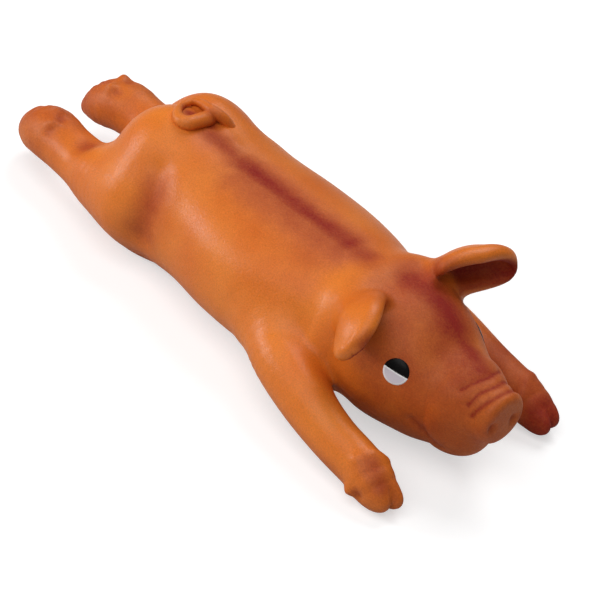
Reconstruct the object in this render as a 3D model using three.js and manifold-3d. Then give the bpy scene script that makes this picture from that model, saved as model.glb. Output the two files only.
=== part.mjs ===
// Latex pig dog toy: a dipped latex skin lying on its belly, stuffed with wadding around a squeaker.
// Millimetres. +X runs to the snout, +Y to the pig's left and +Z up, from the middle of the belly's flat.
// The real skin is one moulding. It is parted here where it bends, and each part that bends has a ball at its
// root, which turns in a round hole of the piece that carries it.

import * as THREE from 'three';
import { mergeVertices } from 'three/addons/utils/BufferGeometryUtils.js';
import Module from 'manifold-3d';

const wasm = await Module();
wasm.setup();

// Skin and clearances
const SKIN_WALL = 2.2;
const GAP = 0.35;
const BALL_GAP = 0.6;

// Torso: reaches behind and in front of the origin, then widths and heights from rump to collar
const RUMP_REACH = 70.8;
const COLLAR_REACH = 47;
const RUMP_WIDTH = 69;
const WAIST_WIDTH = 64.2;
const BELLY_WIDTH = 70.4;
const SHOULDER_WIDTH = 64.6;
const RUMP_HEIGHT = 53.4;
const BACK_HEIGHT = 50.6;
const MID_HEIGHT = 25;
const BELLY_TRIM = 1;

// Haunches: the two round halves of the rump
const HAUNCH_LENGTH = 42;
const HAUNCH_WIDTH = 36;
const HAUNCH_SPREAD = 19;
const HAUNCH_HEIGHT = 55;

// Collar: how thick the torso is above, below and beside the neck ball that it holds
const COLLAR_WALL = 2.4;
const COLLAR_CHEEK = 6.2;

// The oval of the back that is pressed
const PANEL_LENGTH = 54;
const PANEL_WIDTH = 34;

// Head: its neck ball, then its length from the ball's middle to the snout, its widths and its heights
const NECK_RADIUS = 22;
const NECK_HEIGHT = 26;
const HEAD_LENGTH = 69.3;
const HEAD_WIDTH = 51;
const CROWN_HEIGHT = 51.7;
const BROW_HEIGHT = 48.1;
const BRIDGE_HEIGHT = 40.5;
const JAW_HEIGHT = 3.1;
const SNOUT_DIAMETER = 20.2;
const SNOUT_HEIGHT = 29.6;
const SNOUT_LENGTH = 14;
const CHIN_RADIUS = 8.7;
const CHIN_HEIGHT = 15.5;
const CHIN_BACK = 15.2;
const NOSTRIL_RADIUS = 2.2;
const NOSTRIL_SPREAD = 8;
const NOD = [-2, 0, 15];

// Eyes: a round inlay on each side, black above and white below
const EYE_DIAMETER = 9;
const EYE_DEPTH = 1.1;
const EYE_FORWARD = 31.3;
const EYE_HEIGHT = 35.4;

// Ears: a gutter of one curl, from a root ball out to a blunt tip, with a roll along its top edge. The left
// ear stands out further and higher than the right one, so the sweeps and lifts differ, right and then left.
const EAR_ROOT_RADIUS = 4.6;
const EAR_FORWARD = 12.5;
const EAR_SPREAD = 28.5;
const EAR_LENGTH = 30;
const EAR_CURL_RADIUS = 9.2;
const EAR_TOP_REACH = 13;
const EAR_LOW_REACH = 12.5;
const EAR_THICKNESS = 3.2;
const EAR_ROLL_RADIUS = 2.4;
const EAR_ARCH = 2.7;
const EAR_LEAN_ANGLE = 68;
const EAR_SWEEP_ANGLES = [37, 22];
const EAR_LIFT_ANGLES = [0, 7];
const FLAP = [-8, 0, 12, 25];

// Front legs: how far the shoulder ball is set in from the collar and the side, then the leg from there
const SHOULDER_INSET = 17;
const SHOULDER_SET = 6.3;
const SHOULDER_HEIGHT = 19;
const SHOULDER_RADIUS = 11.5;
const FRONT_LEG_LENGTH = 82;
const FRONT_LEG_WIDTH = 16.4;
const FRONT_TROTTER_SPREAD = 82;
const FRONT_SPLAY = [0, 24];

// Hind legs: how far the hip ball is set in from the rump, its place and size, then the leg behind it
const HIP_INSET = 8.8;
const HIP_SPREAD = 38;
const HIP_HEIGHT = 19;
const HIP_RADIUS = 13.8;
const HIND_LEG_LENGTH = 58;
const HIND_LEG_WIDTH = 20.6;
const HIND_TROTTER_SPREAD = 22.6;
const HIND_TROTTER_HEIGHT = 10;
const HIND_SPLAY = [-2, 18];

// Trotters: the split between the toes and the two dewclaws behind them
const CLEFT_WIDTH = 1.6;
const CLEFT_DEPTH = 8;
const DEWCLAW_RADIUS = 2.6;

// Tail: a long ring, less its opening, that lies across the rump to the pig's right
const TAIL_BACK = 37.5;
const TAIL_SIDE = 4.5;
const TAIL_ROOT_RADIUS = 4.2;
const TAIL_DIAMETER = 6.2;
const TAIL_RING_LENGTH = 15.4;
const TAIL_RING_WIDTH = 9.2;

// Belly plug
const PLUG_BACK = 26;
const PLUG_DIAMETER = 16;
const PLUG_FLANGE = 2.2;
const PLUG_FLANGE_THICKNESS = 1.4;
const VENT_DIAMETER = 3;

// Wadding: the height where the torso's lower and upper halves meet
const WADDING_SPLIT = 21;

// Squeaker, on a line along X: a bulb, a reed in a holder in the bulb's neck, and a cap over the holder
const BULB_DIAMETER = 26;
const BULB_WALL = 0.9;
const BULB_BACK = 6;
const BULB_NECK_WALL = 1.1;
const BULB_NECK_LENGTH = 8;
const REED_BORE = 8.8;
const CAP_LENGTH = 8;
const CAP_WALL = 1;
const REED_LENGTH = 11;
const REED_WIDTH = 3.4;
const REED_THICKNESS = 0.5;
const REED_GRIP = 2.5;
const REED_CHANNEL = 2.2;

const X = new THREE.Vector3(1, 0, 0);
const Y = new THREE.Vector3(0, 1, 0);
const Z = new THREE.Vector3(0, 0, 1);
const FAR = 400;

const vec = (x, y, z) => new THREE.Vector3(x, y, z);
const mix = (a, b, share) => a + (b - a) * share;
const radians = THREE.MathUtils.degToRad;

// A closed geometry as a solid that can be joined and cut.
function solid(geometry) {
  const bare = new THREE.BufferGeometry();
  bare.setAttribute('position', geometry.getAttribute('position'));
  bare.setIndex(geometry.index);
  const welded = mergeVertices(bare, 1e-4);
  return new wasm.Manifold(new wasm.Mesh({
    numProp: 3,
    vertProperties: Float32Array.from(welded.attributes.position.array),
    triVerts: Uint32Array.from(welded.index.array),
  }));
}

const join = (...bodies) => bodies.reduce((all, body) => all.add(body));
const cut = (body, ...tools) => tools.reduce((left, tool) => left.subtract(tool), body);

// The same geometry turned about a line through a point.
function turned(geometry, pivot, axis, degrees) {
  const turn = new THREE.Matrix4().makeRotationAxis(axis, radians(degrees));
  const there = new THREE.Matrix4().makeTranslation(pivot);
  const back = new THREE.Matrix4().makeTranslation(pivot.clone().negate());
  return geometry.clone().applyMatrix4(there.multiply(turn).multiply(back));
}

function ball(middle, radius, sides = 24) {
  return new THREE.SphereGeometry(radius, sides, Math.round(sides * 0.6)).translate(...middle.toArray());
}

function block(low, high) {
  const size = high.clone().sub(low);
  const middle = low.clone().add(high).multiplyScalar(0.5);
  return new THREE.BoxGeometry(...size.toArray()).translate(...middle.toArray());
}

// A round bar from one point to another.
function bar(from, to, radius, sides = 24) {
  const along = to.clone().sub(from);
  const rod = new THREE.CylinderGeometry(radius, radius, along.length(), sides);
  rod.applyQuaternion(new THREE.Quaternion().setFromUnitVectors(Y, along.clone().normalize()));
  return rod.translate(...from.clone().add(to).multiplyScalar(0.5).toArray());
}

// Everything behind a plane through a point: the plane faces along the given direction.
function behind(point, direction) {
  const slab = new THREE.BoxGeometry(FAR, FAR, FAR).translate(-FAR / 2, 0, 0);
  slab.applyQuaternion(new THREE.Quaternion().setFromUnitVectors(X, direction.clone().normalize()));
  return solid(slab.translate(...point.toArray()));
}

// One cross-section of a soft form: its middle, its half-width, and its reach above and below the middle.
const section = (at, half, up, down = up) => ({ at, half, up, down });

// A soft form that swells and tapers through its cross-sections, grown or shrunk all round by one amount.
// A power over 2 squares its sections a little, and a lean turns them about the path.
function swell(sections, grow, { spans = 1, sides = 16, power = 2, lean = 0 } = {}) {
  const path = new THREE.CatmullRomCurve3(sections.map((s) => s.at));
  const girth = new THREE.CatmullRomCurve3(sections.map((s) => vec(s.half, s.up, s.down)));
  const rings = spans * (sections.length - 1);
  const places = [];
  const faces = [];
  const rounded = (value) => Math.sign(value) * Math.abs(value) ** (2 / power);
  for (let i = 0; i <= rings; i += 1) {
    const along = path.getTangent(i / rings);
    const middle = path.getPoint(i / rings).addScaledVector(along, grow * ((2 * i) / rings - 1));
    const across = Z.clone().cross(along).normalize().applyAxisAngle(along, radians(lean));
    const top = along.clone().cross(across);
    const size = girth.getPoint(i / rings).addScalar(grow);
    for (let j = 0; j < sides; j += 1) {
      const angle = (2 * Math.PI * (j + 0.5)) / sides;
      const rise = rounded(Math.sin(angle));
      places.push(middle.clone()
        .addScaledVector(across, size.x * rounded(Math.cos(angle)))
        .addScaledVector(top, rise * (rise > 0 ? size.y : size.z)));
    }
  }
  const corner = (i, j) => i * sides + (j % sides);
  for (let j = 0; j < sides; j += 1) {
    for (let i = 0; i < rings; i += 1) {
      faces.push(corner(i, j), corner(i, j + 1), corner(i + 1, j));
      faces.push(corner(i, j + 1), corner(i + 1, j + 1), corner(i + 1, j));
    }
  }
  for (let j = 1; j < sides - 1; j += 1) {
    faces.push(corner(0, 0), corner(0, j + 1), corner(0, j));
    faces.push(corner(rings, 0), corner(rings, j), corner(rings, j + 1));
  }
  return new THREE.BufferGeometry().setFromPoints(places).setIndex(faces);
}

// The room that a turning piece needs: its solids at every given angle, joined.
function swept(geometry, pivot, axis, angles) {
  return join(...angles.map((angle) => solid(turned(geometry, pivot, axis, angle))));
}

const toy = new THREE.Group();

function addPiece(name, body, look) {
  const { vertProperties, triVerts } = body.getMesh();
  const geometry = new THREE.BufferGeometry();
  geometry.setAttribute('position', new THREE.BufferAttribute(Float32Array.from(vertProperties), 3));
  geometry.setIndex(new THREE.BufferAttribute(Uint32Array.from(triVerts), 1));
  geometry.computeVertexNormals();
  const mesh = new THREE.Mesh(geometry, new THREE.MeshStandardMaterial(look));
  mesh.name = name;
  toy.add(mesh);
}

const LATEX = { color: '#c9722f', roughness: 0.45, metalness: 0 };
const MAROON_LATEX = { color: '#9a4426', roughness: 0.45, metalness: 0 };
const WHITE_GLOSS = { color: '#f1eef2', roughness: 0.25, metalness: 0 };
const BLACK_GLOSS = { color: '#0b0a0a', roughness: 0.2, metalness: 0 };
const FIBRE = { color: '#ece8df', roughness: 0.95, metalness: 0 };
const BULB_PLASTIC = { color: '#e7e5da', roughness: 0.5, metalness: 0 };
const REED_PLASTIC = { color: '#d5d9dc', roughness: 0.4, metalness: 0 };

// Torso sections, from the rump to the collar: place, width, height of the back and height of the underside.
function torsoSection(x, width, back, under) {
  return section(vec(x, 0, MID_HEIGHT), width / 2, back - MID_HEIGHT, MID_HEIGHT - under);
}

const collarWidth = 2 * (NECK_RADIUS + COLLAR_CHEEK);
const collarTop = NECK_HEIGHT + NECK_RADIUS + COLLAR_WALL;
const collarLow = NECK_HEIGHT - NECK_RADIUS - COLLAR_WALL;
const collarSection = (x) => torsoSection(x, collarWidth, collarTop, collarLow);
const torsoSections = [
  torsoSection(-0.96 * RUMP_REACH, 0.09 * RUMP_WIDTH, mix(MID_HEIGHT, RUMP_HEIGHT, 0.1), 0.88 * MID_HEIGHT),
  torsoSection(-0.945 * RUMP_REACH, 0.32 * RUMP_WIDTH, mix(MID_HEIGHT, RUMP_HEIGHT, 0.34), 0.66 * MID_HEIGHT),
  torsoSection(-0.9 * RUMP_REACH, 0.64 * RUMP_WIDTH, mix(MID_HEIGHT, RUMP_HEIGHT, 0.66), 0.3 * MID_HEIGHT),
  torsoSection(-0.8 * RUMP_REACH, 0.9 * RUMP_WIDTH, mix(MID_HEIGHT, RUMP_HEIGHT, 0.9), 0.06 * MID_HEIGHT),
  torsoSection(-0.68 * RUMP_REACH, RUMP_WIDTH, RUMP_HEIGHT, -BELLY_TRIM),
  torsoSection(-0.51 * RUMP_REACH, mix(WAIST_WIDTH, RUMP_WIDTH, 0.5), RUMP_HEIGHT, -BELLY_TRIM),
  torsoSection(-0.31 * RUMP_REACH, WAIST_WIDTH, mix(BACK_HEIGHT, RUMP_HEIGHT, 0.45), -BELLY_TRIM),
  torsoSection(0, BELLY_WIDTH, BACK_HEIGHT, -BELLY_TRIM),
  torsoSection(0.43 * COLLAR_REACH, BELLY_WIDTH, BACK_HEIGHT, -BELLY_TRIM),
  torsoSection(0.74 * COLLAR_REACH, SHOULDER_WIDTH, BACK_HEIGHT, -0.5 * BELLY_TRIM),
  collarSection(COLLAR_REACH),
];
const TORSO_POWER = 2.2;
const torsoOutside = { spans: 2, sides: 22, power: TORSO_POWER };
const torsoInside = { spans: 1, sides: 16, power: TORSO_POWER };

// One haunch, a given depth inside its outside, on the given side, -1 right and 1 left.
function haunch(side, depth) {
  const low = 0.95 * MID_HEIGHT;
  const reach = vec(HAUNCH_LENGTH / 2, HAUNCH_WIDTH / 2, HAUNCH_HEIGHT - low).subScalar(depth);
  const egg = ball(vec(0, 0, 0), 1, depth > 0 ? 12 : 18).scale(...reach.toArray());
  return solid(egg.translate(HAUNCH_LENGTH / 2 - RUMP_REACH, (side * HAUNCH_SPREAD) / 2, low));
}

// The torso's outside, or the form that lies a given depth inside it, flat where it lies on its belly.
function torsoForm(depth) {
  const barrel = solid(swell(torsoSections, -depth, depth > 0 ? torsoInside : torsoOutside));
  const round = join(barrel, haunch(-1, depth), haunch(1, depth));
  return cut(round, solid(block(vec(-FAR, -FAR, -FAR), vec(FAR, FAR, depth))));
}

// Head sections, forwards from the neck ball: place, width, top and underside.
const neck = vec(COLLAR_REACH - 0.5, 0, NECK_HEIGHT);
const snoutRadius = SNOUT_DIAMETER / 2;

function headSection(forward, middle, width, top, under) {
  return section(vec(neck.x + forward, 0, middle), width / 2, top - middle, middle - under);
}

const muzzleStart = HEAD_LENGTH - SNOUT_LENGTH;
const snoutSection = (forward, share) => headSection(forward, SNOUT_HEIGHT, share * SNOUT_DIAMETER,
  SNOUT_HEIGHT + share * snoutRadius, SNOUT_HEIGHT - share * snoutRadius);
const headSections = [
  headSection(0.2 * NECK_RADIUS, NECK_HEIGHT, 2.3 * NECK_RADIUS,
    NECK_HEIGHT + 0.95 * NECK_RADIUS, NECK_HEIGHT - 0.95 * NECK_RADIUS),
  headSection(0.19 * muzzleStart, NECK_HEIGHT, 0.94 * HEAD_WIDTH,
    mix(NECK_HEIGHT, CROWN_HEIGHT, 0.97), 1.5 * JAW_HEIGHT),
  headSection(0.39 * muzzleStart, NECK_HEIGHT, HEAD_WIDTH, CROWN_HEIGHT, JAW_HEIGHT),
  headSection(0.605 * muzzleStart, mix(NECK_HEIGHT, SNOUT_HEIGHT, 0.3), 0.9 * HEAD_WIDTH,
    BROW_HEIGHT, JAW_HEIGHT),
  headSection(0.823 * muzzleStart, mix(NECK_HEIGHT, SNOUT_HEIGHT, 0.5), 0.69 * HEAD_WIDTH,
    BRIDGE_HEIGHT, 1.65 * JAW_HEIGHT),
  headSection(muzzleStart, SNOUT_HEIGHT, 1.35 * SNOUT_DIAMETER, SNOUT_HEIGHT + 1.03 * snoutRadius,
    SNOUT_HEIGHT - 1.85 * snoutRadius),
  headSection(HEAD_LENGTH - 0.78 * SNOUT_LENGTH, SNOUT_HEIGHT, 1.08 * SNOUT_DIAMETER,
    SNOUT_HEIGHT + 1.02 * snoutRadius, SNOUT_HEIGHT - 1.25 * snoutRadius),
  snoutSection(HEAD_LENGTH - 0.5 * SNOUT_LENGTH, 1),
  snoutSection(HEAD_LENGTH - 0.14 * SNOUT_LENGTH, 1),
  snoutSection(HEAD_LENGTH - 0.04 * SNOUT_LENGTH, 0.94),
  snoutSection(HEAD_LENGTH, 0.8),
];
const HEAD_HOLLOW = 6;
const headOutside = { spans: 2, sides: 18, power: 2.2 };
const headInside = { spans: 1, sides: 14, power: 2.2 };

// The head's face, chin and neck ball, grown by one amount, and the hollow inside, with a solid snout.
const face = (grow) => swell(headSections, grow, headOutside);
const neckBall = (grow) => ball(neck, NECK_RADIUS + grow, 18);
const chinPlace = vec(neck.x + HEAD_LENGTH - CHIN_BACK, 0, CHIN_HEIGHT);
const chin = (grow) => ball(chinPlace, CHIN_RADIUS + grow, 16);
const headForm = (grow) => join(...[face, neckBall, chin].map((form) => solid(form(grow))));
const headHollow = (depth) => join(
  solid(swell(headSections.slice(0, HEAD_HOLLOW), -depth, headInside)),
  solid(neckBall(-depth)),
);
const headRoom = join(solid(neckBall(BALL_GAP)), swept(face(GAP), neck, Y.clone().negate(), NOD));
const MOUTH_SHARE = 0.5;
const NECK_MOUTH_SHARE = 0.25;

// The plane where a hollow limb opens into the piece that carries it, a little further out for its wadding.
function rootMouth(pivot, depth, outwards, inset = 0) {
  const back = outwards.clone().normalize().multiplyScalar(inset - depth);
  return behind(pivot.clone().add(back), outwards);
}

// Legs: each is a root ball and a swelling tube to its trotter, on the given side, -1 right and 1 left.
function frontLeg(side) {
  const out = SHOULDER_WIDTH / 2 - SHOULDER_SET;
  const pivot = vec(COLLAR_REACH - SHOULDER_INSET, side * out, SHOULDER_HEIGHT);
  const at = (share, spread, height) => vec(
    pivot.x + share * FRONT_LEG_LENGTH,
    mix(pivot.y, (side * FRONT_TROTTER_SPREAD) / 2, spread),
    height,
  );
  const half = FRONT_LEG_WIDTH / 2;
  const upperArm = mix(SHOULDER_RADIUS, half, 0.38);
  return {
    pivot,
    axis: vec(0, 0, side),
    angles: FRONT_SPLAY,
    radius: SHOULDER_RADIUS,
    hollow: 6,
    toes: vec(1, 0, 0),
    claws: at(0.8, 0.85, 0.5 * half),
    clawSpread: 1.5 * half,
    sections: [
      section(pivot, 0.94 * SHOULDER_RADIUS, 0.94 * SHOULDER_RADIUS),
      section(at(0.17, 0.45, 0.96 * SHOULDER_HEIGHT), upperArm, upperArm),
      section(at(0.335, 0.67, 0.81 * SHOULDER_HEIGHT), 1.13 * half, 1.2 * half),
      section(at(0.585, 0.82, 1.33 * half), half, 1.04 * half),
      section(at(0.75, 0.84, 1.1 * half), 0.97 * half, half),
      section(at(0.84, 0.87, 0.98 * half), half, 0.9 * half),
      section(at(0.907, 0.91, 0.84 * half), 0.87 * half, 0.62 * half),
      section(at(0.96, 0.97, 0.76 * half), 0.5 * half, 0.4 * half),
      section(at(1, 1, 0.73 * half), 0.17 * half, 0.13 * half),
    ],
  };
}

function hindLeg(side) {
  const pivot = vec(HIP_INSET - RUMP_REACH, (side * HIP_SPREAD) / 2, HIP_HEIGHT);
  const at = (share, inwards, drop) => vec(
    pivot.x - share * HIND_LEG_LENGTH,
    mix(pivot.y, (side * HIND_TROTTER_SPREAD) / 2, inwards),
    mix(HIP_HEIGHT, HIND_TROTTER_HEIGHT, drop),
  );
  const half = HIND_LEG_WIDTH / 2;
  return {
    pivot,
    axis: vec(0, 0, -side),
    angles: HIND_SPLAY,
    radius: HIP_RADIUS,
    hollow: 5,
    toes: vec(-1, 0, 0),
    claws: at(0.7, 0.2, 0.12).add(vec(0, 0, 0.9 * half)),
    clawSpread: half,
    sections: [
      section(pivot, 0.97 * HIP_RADIUS, 0.97 * HIP_RADIUS),
      section(at(0.1, -0.05, 0.03), 0.94 * HIP_RADIUS, 0.94 * HIP_RADIUS),
      section(at(0.31, 0, 0.14), 1.04 * half, 0.96 * half),
      section(at(0.52, 0.07, 0.13), 0.98 * half, 0.91 * half),
      section(at(0.71, 0.2, 0.12), 1.03 * half, 0.97 * half),
      section(at(0.83, 0.44, 0.41), 0.94 * half, 0.84 * half),
      section(at(0.915, 0.75, 0.73), 0.6 * half, 0.45 * half),
      section(at(0.975, 0.93, 0.93), 0.4 * half, 0.3 * half),
      section(at(1, 1, 1), 0.15 * half, 0.11 * half),
    ],
  };
}

const LEG_STEPS = { sides: 12, power: 2.1 };
const legBall = (leg, grow) => solid(ball(leg.pivot, leg.radius + grow, 14));
const legForm = (leg) => join(solid(swell(leg.sections, 0, LEG_STEPS)), legBall(leg, 0));
const legHollow = (leg, depth) => join(
  solid(swell(leg.sections.slice(0, leg.hollow), -depth, { ...LEG_STEPS, sides: 10 })),
  solid(ball(leg.pivot, leg.radius - depth, 10)),
);

// The room that a leg's ball and upper part need in the torso at both ends of its travel.
function legRoom(leg) {
  const upper = swell(leg.sections.slice(0, 4), GAP, LEG_STEPS);
  return join(legBall(leg, BALL_GAP), swept(upper, leg.pivot, leg.axis, leg.angles));
}

function addLeg(name, leg) {
  const outwards = leg.sections[1].at.clone().sub(leg.pivot);
  const tip = leg.sections.at(-1).at;
  const heel = tip.clone().addScaledVector(leg.toes, -CLEFT_DEPTH);
  const reach = tip.clone().addScaledVector(leg.toes, CLEFT_DEPTH);
  const low = heel.clone().min(reach).add(vec(0, -CLEFT_WIDTH / 2, -FAR));
  const high = heel.clone().max(reach).add(vec(0, CLEFT_WIDTH / 2, FAR));
  const claws = [-1, 1].map((side) => {
    return solid(ball(leg.claws.clone().add(vec(0, (side * leg.clawSpread) / 2, 0)), DEWCLAW_RADIUS, 10));
  });
  const outside = cut(join(legForm(leg), ...claws), solid(block(low, high)), headRoom);
  const depth = MOUTH_SHARE * leg.radius;
  addPiece(name, cut(outside, legHollow(leg, SKIN_WALL), rootMouth(leg.pivot, depth, outwards)), LATEX);
  const mouth = rootMouth(leg.pivot, depth, outwards, GAP);
  addPiece(name.replace('leg', 'wadding'), cut(legHollow(leg, SKIN_WALL + GAP), mouth, headRoom), FIBRE);
}

const legs = {
  right_front_leg: frontLeg(-1),
  left_front_leg: frontLeg(1),
  right_hind_leg: hindLeg(-1),
  left_hind_leg: hindLeg(1),
};

// A closed band between an outer and an inner row of points at each of its stations.
function band(stations, flip) {
  const count = stations[0].outer.length;
  const places = stations.flatMap(({ outer, inner }) => [...outer, ...inner]);
  const faces = [];
  const face = (a, b, c) => faces.push(...(flip ? [a, c, b] : [a, b, c]));
  const quad = (a, b, c, d) => {
    face(a, b, c);
    face(a, c, d);
  };
  const outer = (i, j) => 2 * count * i + j;
  const inner = (i, j) => outer(i, j) + count;
  const last = stations.length - 1;
  for (let i = 0; i < last; i += 1) {
    for (let j = 0; j < count - 1; j += 1) {
      quad(outer(i, j), outer(i + 1, j), outer(i + 1, j + 1), outer(i, j + 1));
      quad(inner(i, j), inner(i, j + 1), inner(i + 1, j + 1), inner(i + 1, j));
    }
    quad(outer(i, 0), inner(i, 0), inner(i + 1, 0), outer(i + 1, 0));
    quad(outer(i, count - 1), outer(i + 1, count - 1), inner(i + 1, count - 1), inner(i, count - 1));
  }
  for (let j = 0; j < count - 1; j += 1) {
    quad(outer(0, j), outer(0, j + 1), inner(0, j + 1), inner(0, j));
    quad(outer(last, j), inner(last, j), inner(last, j + 1), outer(last, j + 1));
  }
  return new THREE.BufferGeometry().setFromPoints(places).setIndex(faces);
}

// Ears: the reach round the curl at shares of the length, from the root to the blunt tip.
const EAR_OUTLINE = [[0, 0.82], [0.2, 0.94], [0.46, 1], [0.7, 0.95], [0.86, 0.78], [0.95, 0.56], [1, 0.31]];
const EAR_ROUND = 6;

function ear(side) {
  const which = side < 0 ? 0 : 1;
  const sweep = radians(EAR_SWEEP_ANGLES[which]);
  const lift = radians(EAR_LIFT_ANGLES[which]);
  const lean = radians(EAR_LEAN_ANGLE);
  const crown = (CROWN_HEIGHT - NECK_HEIGHT) * Math.sqrt(1 - (EAR_SPREAD / HEAD_WIDTH) ** 2);
  const root = vec(neck.x + EAR_FORWARD, (side * EAR_SPREAD) / 2, NECK_HEIGHT + crown);
  const flat = vec(Math.sin(sweep), side * Math.cos(sweep), 0);
  const along = flat.multiplyScalar(Math.cos(lift)).setZ(Math.sin(lift));
  const level = along.clone().cross(vec(0, 0, side)).normalize();
  const rise = level.clone().cross(along).multiplyScalar(side);
  const across = level.clone().multiplyScalar(Math.cos(lean)).addScaledVector(rise, Math.sin(lean));
  const out = rise.clone().multiplyScalar(Math.cos(lean)).addScaledVector(level, -Math.sin(lean));
  const at = (share, arc, height) => {
    const angle = arc / EAR_CURL_RADIUS;
    const radius = EAR_CURL_RADIUS + height;
    const bow = 4 * EAR_ARCH * share * (1 - share) - EAR_CURL_RADIUS;
    return root.clone().addScaledVector(along, EAR_LENGTH * share)
      .addScaledVector(out, bow + radius * Math.cos(angle))
      .addScaledVector(across, radius * Math.sin(angle));
  };
  const stations = EAR_OUTLINE.map(([share, reach]) => {
    const arcs = Array.from({ length: EAR_ROUND + 1 }, (_, j) => {
      return reach * mix(-EAR_LOW_REACH, EAR_TOP_REACH, j / EAR_ROUND);
    });
    const row = (height) => arcs.map((arc) => at(share, arc, height));
    return { outer: row(EAR_THICKNESS / 2), inner: row(-EAR_THICKNESS / 2) };
  });
  const roll = EAR_OUTLINE.map(([share, reach]) => {
    const radius = EAR_ROLL_RADIUS * mix(1, 0.65, share);
    return section(at(share, reach * EAR_TOP_REACH - radius, 0), radius, radius);
  });
  const leaf = join(solid(band(stations, side > 0)), solid(swell(roll, 0, { sides: 8 })));
  return { root, axis: vec(side, 0, 0), leaf };
}

const ears = { right_ear: ear(-1), left_ear: ear(1) };
const earSocket = (one) => solid(ball(one.root, EAR_ROOT_RADIUS + BALL_GAP, 12));

function addEar(name, one) {
  const away = FLAP.map((angle) => -angle);
  const headRound = swept(face(GAP), one.root, one.axis, away);
  const leaf = cut(one.leaf, headRound);
  addPiece(name, join(leaf, solid(ball(one.root, EAR_ROOT_RADIUS, 12))), LATEX);
}

// Eyes: a bar through the cheek marks out the eye, and the inlay is the skin's outer layer inside the bar.
function eye(side) {
  const from = vec(neck.x + EYE_FORWARD, 0, EYE_HEIGHT - 0.064 * HEAD_WIDTH);
  const to = from.clone().add(vec(0.22, side, 0.16).multiplyScalar(HEAD_WIDTH));
  return {
    pocket: solid(bar(from, to, EYE_DIAMETER / 2 + GAP)),
    disc: solid(bar(from, to, EYE_DIAMETER / 2)),
    level: EYE_HEIGHT,
  };
}

const eyes = { right_eye: eye(-1), left_eye: eye(1) };

function addEye(name, one) {
  const inlay = cut(headForm(0).intersect(one.disc), headForm(-EYE_DEPTH));
  const above = solid(block(vec(-FAR, -FAR, one.level - GAP / 2), vec(FAR, FAR, FAR)));
  const below = solid(block(vec(-FAR, -FAR, -FAR), vec(FAR, FAR, one.level + GAP / 2)));
  addPiece(`${name}_white`, cut(inlay, above), WHITE_GLOSS);
  addPiece(`${name}_black`, cut(inlay, below), BLACK_GLOSS);
}

function addHead() {
  const nostrils = [-1, 1].map((side) => {
    const place = vec(neck.x + HEAD_LENGTH + 0.4 * NOSTRIL_RADIUS, (side * NOSTRIL_SPREAD) / 2, SNOUT_HEIGHT);
    return solid(ball(place, NOSTRIL_RADIUS, 10));
  });
  const sockets = Object.values(ears).map(earSocket);
  const pockets = Object.values(eyes).map((one) => cut(one.pocket, headForm(-EYE_DEPTH - GAP)));
  const mouth = rootMouth(neck, NECK_MOUTH_SHARE * NECK_RADIUS, X);
  const shell = cut(headForm(0), headHollow(SKIN_WALL), mouth);
  addPiece('head_skin', cut(shell, ...nostrils, ...sockets, ...pockets), LATEX);
  const wadding = cut(headHollow(SKIN_WALL + GAP), rootMouth(neck, NECK_MOUTH_SHARE * NECK_RADIUS, X, GAP));
  addPiece('head_wadding', cut(wadding, ...sockets), FIBRE);
}

// Tail: out of its root ball, then round its ring, thinner and rising towards its tip.
const tailRoot = vec(-TAIL_BACK, TAIL_SIDE, RUMP_HEIGHT - 0.15 * TAIL_DIAMETER);
const TAIL_STATIONS = 7;

function tailCurl(grow) {
  const half = TAIL_DIAMETER / 2;
  const wide = TAIL_RING_WIDTH / 2;
  const long = TAIL_RING_LENGTH / 2;
  const middle = tailRoot.clone().add(vec(-1.75 * wide, -1.3 * long, half));
  const turn = Array.from({ length: TAIL_STATIONS }, (_, i) => {
    const share = i / (TAIL_STATIONS - 1);
    const angle = radians(mix(35, -250, share));
    const size = mix(half, 0.68 * half, share);
    const rise = 0.6 * half * share ** 2;
    return section(middle.clone().add(vec(wide * Math.cos(angle), long * Math.sin(angle), rise)), size, size);
  });
  const start = tailRoot.clone().add(vec(-0.3 * half, -0.3 * half, 0.4 * half));
  const stem = section(start, 0.88 * half, 0.88 * half);
  return solid(swell([stem, ...turn], grow, { spans: 2, sides: 8 }));
}

const tailBall = (grow) => solid(ball(tailRoot, TAIL_ROOT_RADIUS + grow, 12));
const tailRoom = join(tailCurl(GAP), tailBall(BALL_GAP));

// Belly plug: a disc that fills the hole in the belly and a flange that lies on the skin inside.
const plugPlace = vec(-PLUG_BACK, 0, 0);

function plug() {
  const vent = VENT_DIAMETER / 2;
  const disc = PLUG_DIAMETER / 2;
  const rim = disc + PLUG_FLANGE;
  const seat = SKIN_WALL + GAP;
  const top = seat + PLUG_FLANGE_THICKNESS;
  const outline = [[vent, GAP], [disc, GAP], [disc, seat], [rim, seat], [rim, top], [vent, top], [vent, GAP]];
  const turned = new THREE.LatheGeometry(outline.map(([r, z]) => new THREE.Vector2(r, z)), 24);
  return turned.rotateX(Math.PI / 2).translate(...plugPlace.toArray());
}

const plugTop = SKIN_WALL + PLUG_FLANGE_THICKNESS + 2 * GAP;
const upFrom = (low, high, radius) => solid(bar(vec(-PLUG_BACK, 0, low), vec(-PLUG_BACK, 0, high), radius));
const plugRoom = join(
  upFrom(-1, plugTop, PLUG_DIAMETER / 2 + GAP),
  upFrom(SKIN_WALL, plugTop, PLUG_DIAMETER / 2 + PLUG_FLANGE + GAP),
);

// Squeaker, along X from the middle of its bulb.
const bulbRadius = BULB_DIAMETER / 2;
const bulbPlace = vec(-BULB_BACK, 0, WADDING_SPLIT);
const bore = REED_BORE / 2;
const neckRadius = bore + BULB_NECK_WALL;
const neckEnd = bulbRadius + BULB_NECK_LENGTH;
const capEnd = neckEnd + GAP + CAP_LENGTH;
const holderStart = bulbRadius - 2;
const reedSlot = holderStart + REED_LENGTH - REED_GRIP;

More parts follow.
